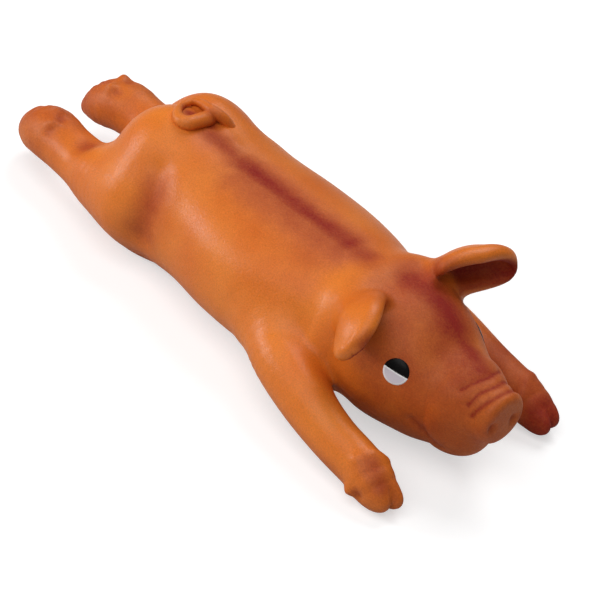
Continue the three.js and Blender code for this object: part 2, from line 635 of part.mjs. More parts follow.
function bulbGeometry() {
  const outer = Math.asin(neckRadius / bulbRadius);
  const inner = Math.asin(bore / (bulbRadius - BULB_WALL));
  const outline = new THREE.Path();
  outline.absarc(0, 0, bulbRadius, -Math.PI / 2, Math.PI / 2 - outer, false);
  outline.lineTo(neckRadius, neckEnd);
  outline.lineTo(bore, neckEnd);
  outline.absarc(0, 0, bulbRadius - BULB_WALL, Math.PI / 2 - inner, -Math.PI / 2, true);
  const geometry = new THREE.LatheGeometry(outline.getPoints(5), 16);
  return geometry.rotateZ(-Math.PI / 2).translate(...bulbPlace.toArray());
}

const onLine = (x, y, z) => bulbPlace.clone().add(vec(x, y, z));

function addSqueaker() {
  addPiece('squeaker_bulb', solid(bulbGeometry()), BULB_PLASTIC);
  const stem = solid(bar(onLine(holderStart, 0, 0), onLine(capEnd, 0, 0), bore - GAP, 20));
  const table = solid(block(onLine(-FAR, -FAR, 0), onLine(reedSlot, FAR, FAR)));
  const slotHalf = REED_WIDTH / 2 + GAP;
  const slotEnd = onLine(reedSlot + REED_GRIP + GAP, slotHalf, REED_THICKNESS + 2 * GAP);
  const slot = solid(block(onLine(reedSlot - 1, -slotHalf, 0), slotEnd));
  const channelHalf = REED_CHANNEL / 2;
  const channel = solid(block(onLine(-FAR, -channelHalf, -REED_CHANNEL), onLine(FAR, channelHalf, 0.1)));
  addPiece('reed_holder', cut(stem, table, slot, channel), REED_PLASTIC);
  const reed = block(onLine(holderStart, -REED_WIDTH / 2, GAP),
    onLine(holderStart + REED_LENGTH, REED_WIDTH / 2, GAP + REED_THICKNESS));
  addPiece('squeaker_reed', solid(reed), REED_PLASTIC);
  const capBody = solid(bar(onLine(neckEnd + GAP, 0, 0), onLine(capEnd, 0, 0), bore + CAP_WALL, 20));
  const capBore = solid(bar(onLine(0, 0, 0), onLine(capEnd + 1, 0, 0), bore, 20));
  addPiece('reed_cap', cut(capBody, capBore), REED_PLASTIC);
}

// The room that the squeaker takes up in the wadding.
const squeakerRoom = join(
  solid(ball(bulbPlace, bulbRadius + 2 * GAP, 14)),
  solid(bar(bulbPlace, onLine(capEnd + GAP, 0, 0), Math.max(neckRadius, bore + CAP_WALL) + GAP, 20)),
);

// The pressed panel: an oval of the back's skin.
function panelColumn(grow) {
  const oval = new THREE.Shape();
  oval.absellipse(0, 0, PANEL_LENGTH / 2 + grow, PANEL_WIDTH / 2 + grow, 0, 2 * Math.PI);
  const options = { depth: FAR, bevelEnabled: false, curveSegments: 9 };
  return solid(new THREE.ExtrudeGeometry(oval, options).translate(0, 0, MID_HEIGHT));
}

function addTorso() {
  const rooms = Object.values(legs).map(legRoom);
  const cavity = torsoForm(SKIN_WALL);
  const collar = behind(vec(COLLAR_REACH - 2 * SKIN_WALL, 0, 0), X.clone().negate());
  const doorway = [-3, 3].map((walls) => collarSection(COLLAR_REACH + walls * SKIN_WALL));
  const shell = cut(torsoForm(0), cavity, solid(swell(doorway, -SKIN_WALL, torsoInside)));
  addPiece('torso_skin', cut(shell, panelColumn(GAP), plugRoom, headRoom, tailRoom, ...rooms), LATEX);
  addPiece('back_panel', cut(shell.intersect(panelColumn(0)), tailRoom), LATEX);
  addPiece('belly_plug', solid(plug()), MAROON_LATEX);

  const balls = [solid(neckBall(BALL_GAP)), tailBall(BALL_GAP)];
  const filling = cut(torsoForm(SKIN_WALL + GAP), collar, ...balls, ...rooms, squeakerRoom);
  const lower = solid(block(vec(-FAR, -FAR, -FAR), vec(FAR, FAR, WADDING_SPLIT + GAP)));
  const upper = solid(block(vec(-FAR, -FAR, WADDING_SPLIT), vec(FAR, FAR, FAR)));
  addPiece('lower_wadding', cut(filling, upper, plugRoom), FIBRE);
  addPiece('upper_wadding', cut(filling, lower), FIBRE);
}

addTorso();
addHead();
Object.entries(ears).forEach(([name, one]) => addEar(name, one));
Object.entries(eyes).forEach(([name, one]) => addEye(name, one));
Object.entries(legs).forEach(([name, leg]) => addLeg(name, leg));
addPiece('tail', join(tailCurl(0), tailBall(0)), LATEX);
addSqueaker();

export default toy;
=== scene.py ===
# %% [markdown]
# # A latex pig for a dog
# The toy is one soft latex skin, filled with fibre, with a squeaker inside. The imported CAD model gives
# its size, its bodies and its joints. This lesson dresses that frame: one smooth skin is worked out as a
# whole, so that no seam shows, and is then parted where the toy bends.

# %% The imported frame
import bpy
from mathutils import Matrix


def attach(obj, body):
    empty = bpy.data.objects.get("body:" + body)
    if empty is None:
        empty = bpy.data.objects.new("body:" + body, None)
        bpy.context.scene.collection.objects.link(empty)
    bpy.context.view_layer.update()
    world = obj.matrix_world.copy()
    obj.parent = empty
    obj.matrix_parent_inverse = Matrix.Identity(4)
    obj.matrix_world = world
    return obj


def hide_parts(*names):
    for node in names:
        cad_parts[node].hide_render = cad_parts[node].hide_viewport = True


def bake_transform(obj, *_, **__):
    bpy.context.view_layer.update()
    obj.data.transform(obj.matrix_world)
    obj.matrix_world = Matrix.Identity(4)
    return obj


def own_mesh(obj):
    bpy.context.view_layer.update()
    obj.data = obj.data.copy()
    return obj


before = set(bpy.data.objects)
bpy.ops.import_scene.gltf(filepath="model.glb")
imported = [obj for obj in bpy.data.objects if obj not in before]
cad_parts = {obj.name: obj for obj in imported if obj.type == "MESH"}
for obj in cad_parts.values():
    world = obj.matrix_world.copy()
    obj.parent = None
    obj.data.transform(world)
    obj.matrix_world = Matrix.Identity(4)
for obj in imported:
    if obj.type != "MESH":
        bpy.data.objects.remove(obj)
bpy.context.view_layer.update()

import bmesh
import bpy
import numpy as np

MM = 0.001

# %% [markdown]
# ## The camera
# The picture looks down on the pig from its right front, through a long lens, a little rolled. The camera
# is set from an azimuth, a height, a roll and the point that it aims at, because these are easy to read
# and to change.

# %% Camera at the picture's angle
AIM = np.array([28.2, -12.0, 25.4]) * MM
AZIMUTH, HEIGHT, ROLL = np.radians([39.98, 36.13, 12.67])
DISTANCE = 853.9 * MM
LENS, SENSOR = 148.07, 36


def link(name, data):
    """A new object of the data, in the scene."""
    made = bpy.data.objects.new(name, data)
    bpy.context.collection.objects.link(made)
    return made


def put_at(thing, axes, at):
    """Turn an object so that its own X, Y and Z lie along three axes, and move it to a point in metres."""
    placing = np.eye(4)
    placing[:3, :3] = np.stack(axes, axis=1)
    placing[:3, 3] = at
    thing.matrix_world = placing.T.tolist()


back = np.array([np.sin(AZIMUTH) * np.cos(HEIGHT), -np.cos(AZIMUTH) * np.cos(HEIGHT), np.sin(HEIGHT)])
level = np.array([np.cos(AZIMUTH), np.sin(AZIMUTH), 0.0])
rise = np.cross(back, level)
right = np.cos(ROLL) * level + np.sin(ROLL) * rise
up = np.cos(ROLL) * rise - np.sin(ROLL) * level

camera = link("camera", bpy.data.cameras.new("camera"))
put_at(camera, (right, up, back), AIM + back * DISTANCE)
camera.data.lens, camera.data.sensor_width, camera.data.clip_start = LENS, SENSOR, 0.01
bpy.context.scene.camera = camera
print("camera at mm:", np.round((AIM + back * DISTANCE) / MM, 1))

# %% [markdown]
# ## A skin from a field
# A toy like this could be made from separate tubes pushed into one another, but then every leg would meet
# the body in a hard line, and the real skin flows from one into the other. So each form is written as a
# field: a number for every point in space, about the distance in mm to the form, below nought inside it.
# Two fields are joined softly, which fills the corner between them as the moulded latex does. All sizes
# in these cells are mm.

# %% Soft joins and smooth rows of sections
def soft_join(a, b, reach):
    """The lower of two fields, rounded over where they differ by less than reach."""
    share = np.clip(0.5 + 0.5 * (b - a) / reach, 0, 1)
    return b + (a - b) * share - reach * share * (1 - share)


def soft_cut(a, b, reach):
    """Field a with the form of field b taken out of it, its edge rounded over reach."""
    return -soft_join(-a, b, reach)


def smooth_rows(rows, count):
    """A denser table through the rows: cubic pieces that share their slope at each row, so nothing kinks."""
    rows = np.asarray(rows, float)
    at = np.linspace(rows[0, 0], rows[-1, 0], count)
    slope = np.gradient(rows[:, 1:], rows[:, 0], axis=0)
    i = np.clip(np.searchsorted(rows[:, 0], at, side="right") - 1, 0, len(rows) - 2)
    gap = (rows[i + 1, 0] - rows[i, 0])[:, None]
    t = (at - rows[i, 0])[:, None] / gap
    return at, ((2 * t**3 - 3 * t**2 + 1) * rows[i, 1:] + (t**3 - 2 * t**2 + t) * slope[i] * gap
                + (3 * t**2 - 2 * t**3) * rows[i + 1, 1:] + (t**3 - t**2) * slope[i + 1] * gap)


def fade(values, start, end):
    """0 before start and 1 after end, with a soft S between them."""
    t = np.clip((values - start) / (end - start), 0, 1)
    return t * t * (3 - 2 * t)


def unit(way):
    """A direction of length one."""
    return way / np.linalg.norm(way)


def lengths(vectors):
    """The length of each vector of a list."""
    return np.sqrt(np.einsum("ij,ij->i", vectors, vectors))


def within(points, low, high, far, field):
    """The field of the points inside a box, and far for all others, which saves most of the sums."""
    near = np.all((points > low) & (points < high), axis=1)
    out = np.full(len(points), float(far))
    if near.any():
        out[near] = field(points[near])
    return out


# %% A barrel, an egg and a limb
def barrel(points, rows, power, rear, front):
    """A form along X with rows of half width, top, underside and middle height by x.

    Across, it is the curve |y / width|^power + |z / height|^power = 1, and its ends round off from a start
    over a length in the same way.
    """
    at, table = smooth_rows(rows, 240)
    x, y, z = points.T
    wide, top, under, middle = [np.interp(np.clip(x, rear[0], front[0]), at, column) for column in table.T]
    tall = np.where(z > middle, top - middle, middle - under)
    past = np.maximum((rear[0] - x) / rear[1], (x - front[0]) / front[1]).clip(0)
    length = np.where(x < rear[0], rear[1], front[1])
    u, v = np.abs(y) / wide, np.abs(z - middle) / tall
    size = (u**power + v**power + past**power) ** (1 / power) + 1e-9
    steep = np.sqrt((u ** (power - 1) / wide) ** 2 + (v ** (power - 1) / tall) ** 2
                    + (past ** (power - 1) / length) ** 2) * size ** (1 - power)
    return (size - 1) / np.maximum(steep, 0.5 / np.maximum(wide, tall))


def egg(points, middle, radii):
    """An ellipsoid: how far out a point is as a share of the radii, less one, over that share's slope."""
    radii = np.asarray(radii, float)
    q = (points - np.asarray(middle, float)) / radii
    size = lengths(q) + 1e-9
    return size * (size - 1) / (lengths(q / radii) + 1e-9)


def limb(points, rows, pieces=22, margin=14):
    """A tube along rows of x, y, z, half width and half height: the nearest of many short oval pieces."""
    rows = np.asarray(rows, float)
    run = np.r_[0, np.cumsum(lengths(np.diff(rows[:, :3], axis=0)))]
    table = smooth_rows(np.c_[run, rows], pieces + 1)[1]

    def field(p):
        out = np.full(len(p), 1e3)
        for a, b in zip(table[:-1], table[1:]):
            length, along = np.linalg.norm(b[:3] - a[:3]), unit(b[:3] - a[:3])
            share = np.clip((p - a[:3]) @ along / length, 0, 1)
            q = p - a[:3] - (share * length)[:, None] * along
            wide, tall = a[3] + share * (b[3] - a[3]), a[4] + share * (b[4] - a[4])
            side = unit(np.cross([0, 0, 1.0], along))
            q = q @ np.stack([side, np.cross(along, side), along], axis=1)
            radii = np.stack([wide, tall, np.sqrt(wide * tall)], axis=1)
            out = np.minimum(out, egg(q, (0, 0, 0), radii))
        return out

    room = rows[:, 3:].max(axis=1)[:, None] + margin
    return within(points, (rows[:, :3] - room).min(axis=0), (rows[:, :3] + room).max(axis=0), 30, field)


# %% [markdown]
# ## The pig's forms
# The rows below are the pig itself: how wide and how high it is along its length. The body is a barrel,
# fuller at the belly and drawn in at the waist, with two eggs for the rump. The head is a second barrel
# that narrows to the muzzle, with a round snout and a chin set into it, and each leg is a limb that thins
# and ends in a trotter.

# %% Body, head and legs
BODY = [(-46, 31.4, 52.6, -1, 25), (-36, 32.7, 53.1, -1, 25), (-22, 32.1, 51.9, -1, 25),
        (0, 35.1, 50.7, -1, 25), (20, 34.9, 50.5, -1, 25), (35, 32, 50.4, -0.5, 25),
        (47, 28.1, 50, 1.5, 25), (58, 25.1, 50, 4, 25)]
HEAD = [(52, 22.6, 49.9, 6, 26), (60, 24.5, 51.3, 4, 26), (68, 25.5, 51.7, 3, 26), (80, 22.8, 48.1, 3.2, 27),
        (92, 17.6, 40.5, 5.1, 27), (101, 12.4, 36.9, 11, 27)]
FRONT_LEG = [(30, 24, 20, 12.5, 12.5), (44, 32.8, 18.3, 10.2, 10.3), (57.5, 36.1, 15.4, 9.3, 9.8),
             (77.9, 38.3, 10.9, 8.2, 8.5), (91.5, 38.6, 9, 7.9, 8.3), (97.5, 38.9, 7.9, 8, 7.5),
             (101.5, 39.2, 7, 6.4, 5.6)]
FRONT_TOES = [((100.6, 41.7, 5.8), (8.6, 4.3, 5.4)), ((102.6, 36.4, 5.6), (7.6, 3.5, 5.2))]
HIND_LEG = [(-50, 20, 21, 15, 15), (-68, 19.6, 18.8, 12.9, 13), (-80, 19, 17.7, 10.7, 9.9),
            (-92, 18.5, 17.8, 10.1, 9.4), (-103, 17.5, 17.9, 10.6, 10), (-110, 15.6, 15.3, 9.7, 8.6),
            (-115, 13.2, 12.3, 6.2, 4.6)]
SNOUT_START, SNOUT_TIP, SNOUT_HEIGHT = 96, 112.6, 29.6
SNOUT_RADIUS, SNOUT_RIM = 10.1, 3.2
NOSTRILS = [(-6.0, 29.2), (4.4, 29.2)]
RUMP = (-50.2, 9.4, 23.7), (20.6, 17.6, 31.2)
CHIN = (100.6, 0, 15.5), (8.9, 8, 8.8)
EAR_BASE = (58.5, 15.5, 44.5), (8, 8.5, 6)
JOIN = dict(rump=9, snout=9, chin=8, neck=10, leg=7, toe=1.6, ear=6, floor=2, nostril=1.6, plug=0.6)
SIDES = ("right", -1), ("left", 1)


def other_side(points):
    """The same points with y taken as its distance from the middle, for forms that both sides share."""
    return np.c_[points[:, 0], np.abs(points[:, 1]), points[:, 2]]


def body_field(points):
    """The barrel of the body with an egg for each half of the rump."""
    whole = barrel(points, BODY, 2.25, (-46, 22), (48, 12))
    return soft_join(whole, egg(other_side(points), *RUMP), JOIN["rump"])


def snout_field(points):
    """A round bar along X with a flat end and a rounded rim."""
    across = np.hypot(points[:, 1], points[:, 2] - SNOUT_HEIGHT) - SNOUT_RADIUS + SNOUT_RIM
    along = np.maximum(points[:, 0] - SNOUT_TIP, SNOUT_START - points[:, 0])
    outside = np.hypot(across.clip(0), along.clip(0))
    return np.minimum(np.maximum(across, along), 0) + outside - SNOUT_RIM


def face_field(points):
    """The barrel of the head with the snout, the chin and two nostrils."""
    face = barrel(points, HEAD, 2.2, (57, 12), (95, 11))
    face = soft_join(face, snout_field(points), JOIN["snout"])
    face = soft_join(face, egg(points, *CHIN), JOIN["chin"])
    face = soft_join(face, egg(other_side(points), *EAR_BASE), JOIN["ear"])
    for y, z in NOSTRILS:
        face = soft_cut(face, egg(points, (117.1, y, z), (2.6, 2, 2.4)), JOIN["nostril"])
    return face


def leg_rows(rows, side, sag):
    """One side's leg, with its trotter a little lower or higher, as soft legs never lie quite alike."""
    rows = np.array(rows, float)
    rows[:, 1] *= side
    rows[:, 2] += sag * np.linspace(0, 1, len(rows)) ** 1.5
    return rows


LEGS = {
    "right_front_leg": leg_rows(FRONT_LEG, -1, 0.4),
    "left_front_leg": leg_rows(FRONT_LEG, 1, -0.5),
    "right_hind_leg": leg_rows(HIND_LEG, -1, -1.4),
    "left_hind_leg": leg_rows(HIND_LEG, 1, 1.6),
}

# %% [markdown]
# ## Ears
# Each ear is a thick cupped leaf that stands out of the side of the head, its hollow facing forwards. It
# could be a bent sheet with a wall, but its root has to flow into the head, so it is a field as well: a
# thin slab that is bent into a gutter, with an outline that is widest before its middle and round at the
# tip.

# %% Ear fields
EAR_SHAPE = dict(curl=8.7, up=15.4, down=13.1, arch=4.8, bow=2, rim=2.4, blunt=1.4)
EARS = {
    "right_ear": dict(EAR_SHAPE, side=-1, root=(59, 18.5, 47.8), tip=(76.3, 38.8, 47), lean=55,
                      up=11, down=12, blunt=2),
    "left_ear": dict(EAR_SHAPE, side=1, root=(60, 14.6, 48.9), tip=(73.7, 42, 49.6), lean=82),
}
EAR_HALF_WALL = 1.6
EAR_WIDEST = 0.46


def ear_frame(side, root, tip, lean, **_):
    """The ear's root and length, and its directions: along, across to the top edge and out of its back."""
    root, tip = [np.array(p, float) * (1, side, 1) for p in (root, tip)]
    length, along = np.linalg.norm(tip - root), unit(tip - root)
    across = unit(np.cross(along, [0, 0, side]))
    out = np.cross(across, along) * side
    c, s = np.cos(np.radians(lean)), np.sin(np.radians(lean))
    return root, length, along, c * across + s * out, c * out - s * across


def ear_place(points, ear):
    """Where points lie in a gutter that is an arc of one radius, its curl.

    The share of the length from root to tip, the distance round the gutter from its middle line, how far the
    gutter reaches there on that side, and the height over its wall.
    """
    root, length, along, across, out = ear_frame(**ear)
    q = points - root
    s = q @ along / length
    w = q @ across - 4 * ear["bow"] * s * (1 - s)
    n = q @ out - 4 * ear["arch"] * s * (1 - s) + ear["curl"]
    arc = ear["curl"] * np.arctan2(w, n)
    tip_side, root_side = np.clip((s - EAR_WIDEST) / 0.56, 0, 1), np.clip((EAR_WIDEST - s) / 0.6, 0, 1)
    outline = np.sqrt(np.clip(1 - tip_side ** ear["blunt"], 1e-4, None)) * (1 - 0.3 * root_side**2)
    return s, arc, np.where(arc > 0, ear["up"], ear["down"]) * outline, np.hypot(w, n) - ear["curl"]


def ear_field(points, ear):
    """A bent slab of one thickness with round edges, and a roll round its edge that is thicker at the top."""
    root, length, *_ = ear_frame(**ear)

    def field(p):
        s, arc, reach, n = ear_place(p, ear)
        across = (np.abs(arc) - reach + EAR_HALF_WALL).clip(0)
        beyond = np.maximum(0.05 - s, s - 0.95).clip(0) * length
        slab = np.sqrt(across**2 + beyond**2 + n**2) - EAR_HALF_WALL
        thicker = fade(arc, -4, 4) * (1 - 0.5 * fade(s, 0.6, 1))
        roll = EAR_HALF_WALL + (ear["rim"] - EAR_HALF_WALL) * thicker
        rim = np.sqrt((np.sqrt(arc**2 + 1) - reach + roll) ** 2 + n**2 + beyond**2) - roll
        return soft_join(slab, rim, 3)

    return within(points, root - length - 12, root + length + 12, 30, field)


# %% The whole skin as one field
PLUG_PLACE = (-26, 0)
PLUG_HOLE = 8.4


def plug_hole(points):
    """A short bar up into the belly, where the plug sits."""
    across = np.hypot(points[:, 0] - PLUG_PLACE[0], points[:, 1] - PLUG_PLACE[1]) - PLUG_HOLE
    return np.maximum(across, points[:, 2] - 4)


def skin_field(points):
    """All forms softly joined, flat where the belly lies on the floor, and open for the plug."""
    skin = soft_join(body_field(points), face_field(points), JOIN["neck"])
    for rows in LEGS.values():
        skin = soft_join(skin, limb(points, rows), JOIN["leg"])
    for toe in FRONT_TOES:
        skin = soft_join(skin, egg(other_side(points), *toe), JOIN["toe"])
    for ear in EARS.values():
        skin = soft_join(skin, ear_field(points, ear), JOIN["ear"])
    skin = soft_cut(skin, points[:, 2], JOIN["floor"])
    return soft_cut(skin, plug_hole(points), JOIN["plug"])


# %% [markdown]
# ## From the field to a mesh
# Blender could find this surface with metaballs or a remesh, but both round off small forms. Here a grid
# is laid through space. Every cell that the skin passes through gets one point, and every grid line that
# goes through the skin gets one quad. A coarse grid comes first, so that only cells near the skin are
# worked out finely.

# %% A net of quads over the field
STEP = 0.8


def grow_cells(cells, times):
    """Every coarse cell repeated as a block of fine ones."""
    return cells.repeat(times, 0).repeat(times, 1).repeat(times, 2)


def corner_views(grid, size):
    """The eight views of a grid of nodes that are the corners of each of its cells."""
    return [grid[i:size[0] + i, j:size[1] + j, k:size[2] + k] for i, j, k in np.ndindex(2, 2, 2)]


def skin_net(field, low, high, step, coarse=4):
    """Points and quads of the surface where the field is nought."""
    low = np.asarray(low, float)
    blocks = np.ceil((np.asarray(high) - low) / (step * coarse)).astype(int)
    axes = [low[i] + step * coarse * np.arange(blocks[i] + 1) for i in range(3)]
    rough = field(np.stack(np.meshgrid(*axes, indexing="ij"), -1).reshape(-1, 3)).reshape(blocks + 1)
    near = np.any(corner_views(np.abs(rough) < 2.2 * step * coarse, blocks), axis=0)
    cells = blocks * coarse
    values = np.pad(grow_cells(rough[:-1, :-1, :-1], coarse), ((0, 1),) * 3, mode="edge")
    wanted = np.zeros(cells + 1, bool)
    for view in corner_views(wanted, cells):
        view |= grow_cells(near, coarse)
    values[wanted] = field(low + step * np.argwhere(wanted))

    inside = values < 0
    count = np.sum(corner_views(inside.astype(np.int8), cells), axis=0)
    active = np.argwhere((count > 0) & (count < 8))
    number = np.full(cells, -1)
    number[tuple(active.T)] = np.arange(len(active))
    place, hits = np.zeros((len(active), 3)), np.zeros(len(active))
    for corner in np.ndindex(2, 2, 2):
        for axis in range(3):
            if corner[axis] == 0:
                one = np.eye(3, dtype=int)[axis]
                a, b = values[tuple((active + corner).T)], values[tuple((active + corner + one).T)]
                crosses = (a < 0) != (b < 0)
                share = np.where(crosses, a / np.where(crosses, a - b, 1), 0)
                place += (np.array(corner) + share[:, None] * one) * crosses[:, None]
                hits += crosses
    points = low + step * (active + place / hits[:, None])

    quads = []
    for axis in range(3):
        b, c = np.eye(3, dtype=int)[(axis + 1) % 3], np.eye(3, dtype=int)[(axis + 2) % 3]
        here = [slice(1, n) for n in cells]
        there = list(here)
        here[axis], there[axis] = slice(0, cells[axis]), slice(1, cells[axis] + 1)
        first, second = inside[tuple(here)], inside[tuple(there)]
        for mask, order in ((first & ~second, 1), (~first & second, -1)):
            e = np.argwhere(mask) + b + c
            ring = np.stack([number[tuple((e - d).T)] for d in (b + c, c, 0 * b, b)], axis=1)
            quads.append(ring[:, ::order])
    return points, np.concatenate(quads)


# %% Even out the net and settle it on the skin
NUDGE = 0.05


def slope_of(field, points, value):
    """How the field grows along X, Y and Z, from a small nudge in each direction."""
    return np.stack([field(points + NUDGE * one) - value for one in np.eye(3)], axis=1) / NUDGE


def settle(field, points, quads, rounds=2, longest=0.8):
    """Move each point halfway to its neighbours' mean, then along the field's slope back to the skin."""
    ends = np.concatenate([quads[:, [i, (i + 1) % 4]] for i in range(4)])
    ends = np.concatenate([ends, ends[:, ::-1]])
    count = np.bincount(ends[:, 0], minlength=len(points))[:, None]
    for _ in range(rounds):
        sums = [np.bincount(ends[:, 0], points[ends[:, 1], i], len(points)) for i in range(3)]
        points = points + 0.5 * (np.stack(sums, axis=1) / count - points)
        for _ in range(2):
            value = field(points)
            slope = slope_of(field, points, value)
            move = np.clip(value / (slope**2).sum(axis=1).clip(0.05), -longest, longest)
            points = points - move[:, None] * slope
    return points


def point_normals(points, quads):
    """Each point's normal: the sum of the normals of its quads, each as large as the quad is."""
    across = np.cross(points[quads[:, 2]] - points[quads[:, 0]], points[quads[:, 3]] - points[quads[:, 1]])
    total = np.zeros_like(points)
    for corner in range(4):
        for i in range(3):
            total[:, i] += np.bincount(quads[:, corner], across[:, i], len(points))
    return total / lengths(total)[:, None].clip(1e-12)


skin_points, skin_quads = skin_net(skin_field, (-124, -56, -4), (122, 56, 68), STEP)
skin_points = settle(skin_field, skin_points, skin_quads)
skin_normals = point_normals(skin_points, skin_quads)
print("skin:", len(skin_points), "points,", len(skin_quads), "quads")

# %% [markdown]
# ## Creases, wrinkles and toes
# The small forms of the moulding are pressed into the skin or raised on it along its normals: the folds
# behind the snout, the corner of the mouth, the cleft between the toes, the dewclaws, and the soft hollow
# in front of each thigh. Each is a stroke: a path and a width, with a depth that fades away as a bell
# curve does.

# %% Strokes on the skin
def stroke(points, path, width):
    """1 on the path, fading with the square of the distance from it over the width."""
    path = np.asarray(path, float)
    if len(path) == 1:
        path = np.r_[path, path + 1e-6]
    nearest = np.full(len(points), 1e9)
    for a, b in zip(path[:-1], path[1:]):
        along = b - a
        share = np.clip((points - a) @ along / (along @ along), 0, 1)
        nearest = np.minimum(nearest, ((points - a - share[:, None] * along) ** 2).sum(axis=1))
    return np.exp(-nearest / width**2)


def strokes(points, rows):
    """The strokes of a table, each row of which is a strength, a width in mm and a path."""
    return [strength * stroke(points, path, width) for strength, width, path in rows]


THIGH_CREASE = [(-36.8, 26.3, 43.6), (-34.3, 29.7, 38.6), (-32.8, 32.3, 30.8), (-33.6, 32.5, 20.3)]
MOUTH = [(91.1, 17.3, 19.6), (95.8, 13.3, 14.8), (100.4, 9.6, 11.3)]
FOLDS = [
    [(101.9, 9.1, 37.1), (103.6, 3.9, 39.6), (104.4, 0, 40)],
    [(106.4, 9.4, 34.2), (107.1, 6, 37.9), (108.2, 2.7, 39.4), (108.6, 0, 39.7)],
    [(109.2, 9.9, 31.6), (110.8, 7.4, 36.3), (112, 4.4, 38.7), (112.4, 0, 39.7)],
]
HOCK = [(-79.6, 21.2, 27.8)]
TAIL_SHADE = (-39.2, -1.2, 53.9)
TAIL_HOLE = (-47.4, -3.6, 55)
KNUCKLE = [(92.8, 42.5, 15), (94.5, 37.5, 16), (97, 33, 13)]
HIND_CLAWS = [(-101.3, -17.7, 27.3), (-97.8, -22.9, 26.3), (-108.5, 20, 27), (-105.9, 11.9, 26.7)]
CLAW_SHADES = [(-97, -25.2, 24.8), (-102, 11.6, 27.4), (-104.2, 19.5, 27.5), (-97.6, -19, 27.8)]
FRONT_CLAW = [(95.6, 46.6, 5.4)]
SPINE = [(-30, 0, 52.8), (0, 0, 50.7), (32, 0, 50.4)]


BOTH_SIDES_RELIEF = [
    (-2.4, 6, THIGH_CREASE), (1.6, 13, [(-52, 31, 24)]), (-0.9, 2, MOUTH), (-1.6, 5, HOCK),
    (2, 2.2, FRONT_CLAW), (-0.9, 1.8, [np.array(FRONT_CLAW[0]) + (4, 0, 0.5)]), (0.9, 2.2, KNUCKLE),
    (-0.35, 5, SPINE), *[(-0.55, 1.5, path) for path in FOLDS],
]
ONE_SIDE_RELIEF = [
    (0.7, 3, [(-36, 2.5, 53.4), (-27, 1, 52.8)]),
    *[(1.9, 2.3, [claw]) for claw in HIND_CLAWS],
    *[(-0.9, 2.6, [dent]) for dent in CLAW_SHADES],
]


def toe_cleft(points, middle, start, end, width):
    """A groove along the middle of a trotter that comes in from start to end."""
    return np.exp(-(((points[:, 1] - middle) / width) ** 2)) * fade(points[:, 0], start, end)


def relief(points):
    """Height of the small forms at each point, in mm out of the skin."""
    p = other_side(points)
    clefts = 0.5 * toe_cleft(p, 39.1, 103, 107, 0.8) + 1.4 * toe_cleft(p, 14.4, -108, -113, 0.9)
    return np.sum(strokes(p, BOTH_SIDES_RELIEF) + strokes(points, ONE_SIDE_RELIEF), axis=0) - clefts


skin_points = skin_points + relief(skin_points)[:, None] * skin_normals
skin_points[:, 2] = np.maximum(skin_points[:, 2], 0)
skin_normals = point_normals(skin_points, skin_quads)
print("skin reaches mm:", np.round(skin_points.min(axis=0), 1), np.round(skin_points.max(axis=0), 1))

# %% [markdown]
# ## Airbrushed tints and painted shade
# The toy is sprayed with a red brown along the spine, over the forehead and the bridge of the nose, in the
# ears and on the trotters. The same red brown paints shade too: in the creases, folds, dents and hollows,
# under the chin, low along the body and on the far front leg. A texture could hold that, but both follow
# the form, so their strength is worked out at every point of the skin and kept with the mesh as an
# attribute that the latex material reads.

# %% How strong the spray and the painted shade are at each point
ONE_SIDE_SPRAY_AND_SHADE = [
    (0.7, 5, [(-36, -3.5, 53.4), (-26, -3.2, 52.4), (-18, -2.8, 51.6)]),
    (0.92, 7.5, [(-18, -2.8, 51.6), (0, -1.6, 50.7), (22, -1, 50.5), (34, -0.5, 50.4)]),
    (0.6, 12, [(-12, -7, 50.5), (4, -6.5, 50), (32, -6.5, 49.5)]),
    (0.75, 7, [(34, 0, 50.4), (43, -1, 50)]),
    (0.45, 7, [(44, -3, 50.2), (57, -3.5, 51)]),
    (0.95, 12, [(64, 3, 51.7), (70, 4.5, 51), (76, 4.5, 49), (84, 4, 45.5)]),
    (0.9, 8, [(84, 4, 45.5), (92, 3, 40.8), (100, 1, 40)]),
    (0.62, 16, [(64, -1, 51), (74, -1, 49), (84, -1, 45)]),
    (0.72, 12, [(88, -3, 43), (100, -4, 39)]),
    # Painted shade: in the right ear's hollow by its front edge, under the fold of the tail, in the hole of
    # its curl, in the nostrils and in the dents beside the hind dewclaws.
    (0.6, 2.6, [(78.7, -33.7, 52.5), (78.7, -35.9, 50.5)]),
    (0.9, 3.4, [TAIL_SHADE]),
    (0.9, 3.6, [TAIL_HOLE]),
    *[(0.8, 2.2, [(115.5, y, z)]) for y, z in NOSTRILS],
    *[(0.6, 3.6, [dent]) for dent in CLAW_SHADES],
]
BOTH_SIDES_SPRAY_AND_SHADE = [
    # Painted shade in the crease of the mouth, the thigh crease, the hock dimple, the dent beside the front
    # dewclaw and the snout folds; the snout and the tops of the front trotters are sprayed.
    (0.6, 3.2, MOUTH),
    (0.3, 10, [(108, 0, 33)]),
    (0.62, 7, THIGH_CREASE[1:]),
    (0.75, 5.5, HOCK),
    (0.75, 4, [(97, 40.5, 14), (104, 41.5, 10.5)]),
    (0.6, 3, [np.array(FRONT_CLAW[0]) + (3, 0, 0.5)]),
    *[(0.95, 1.4, path) for path in FOLDS],
]


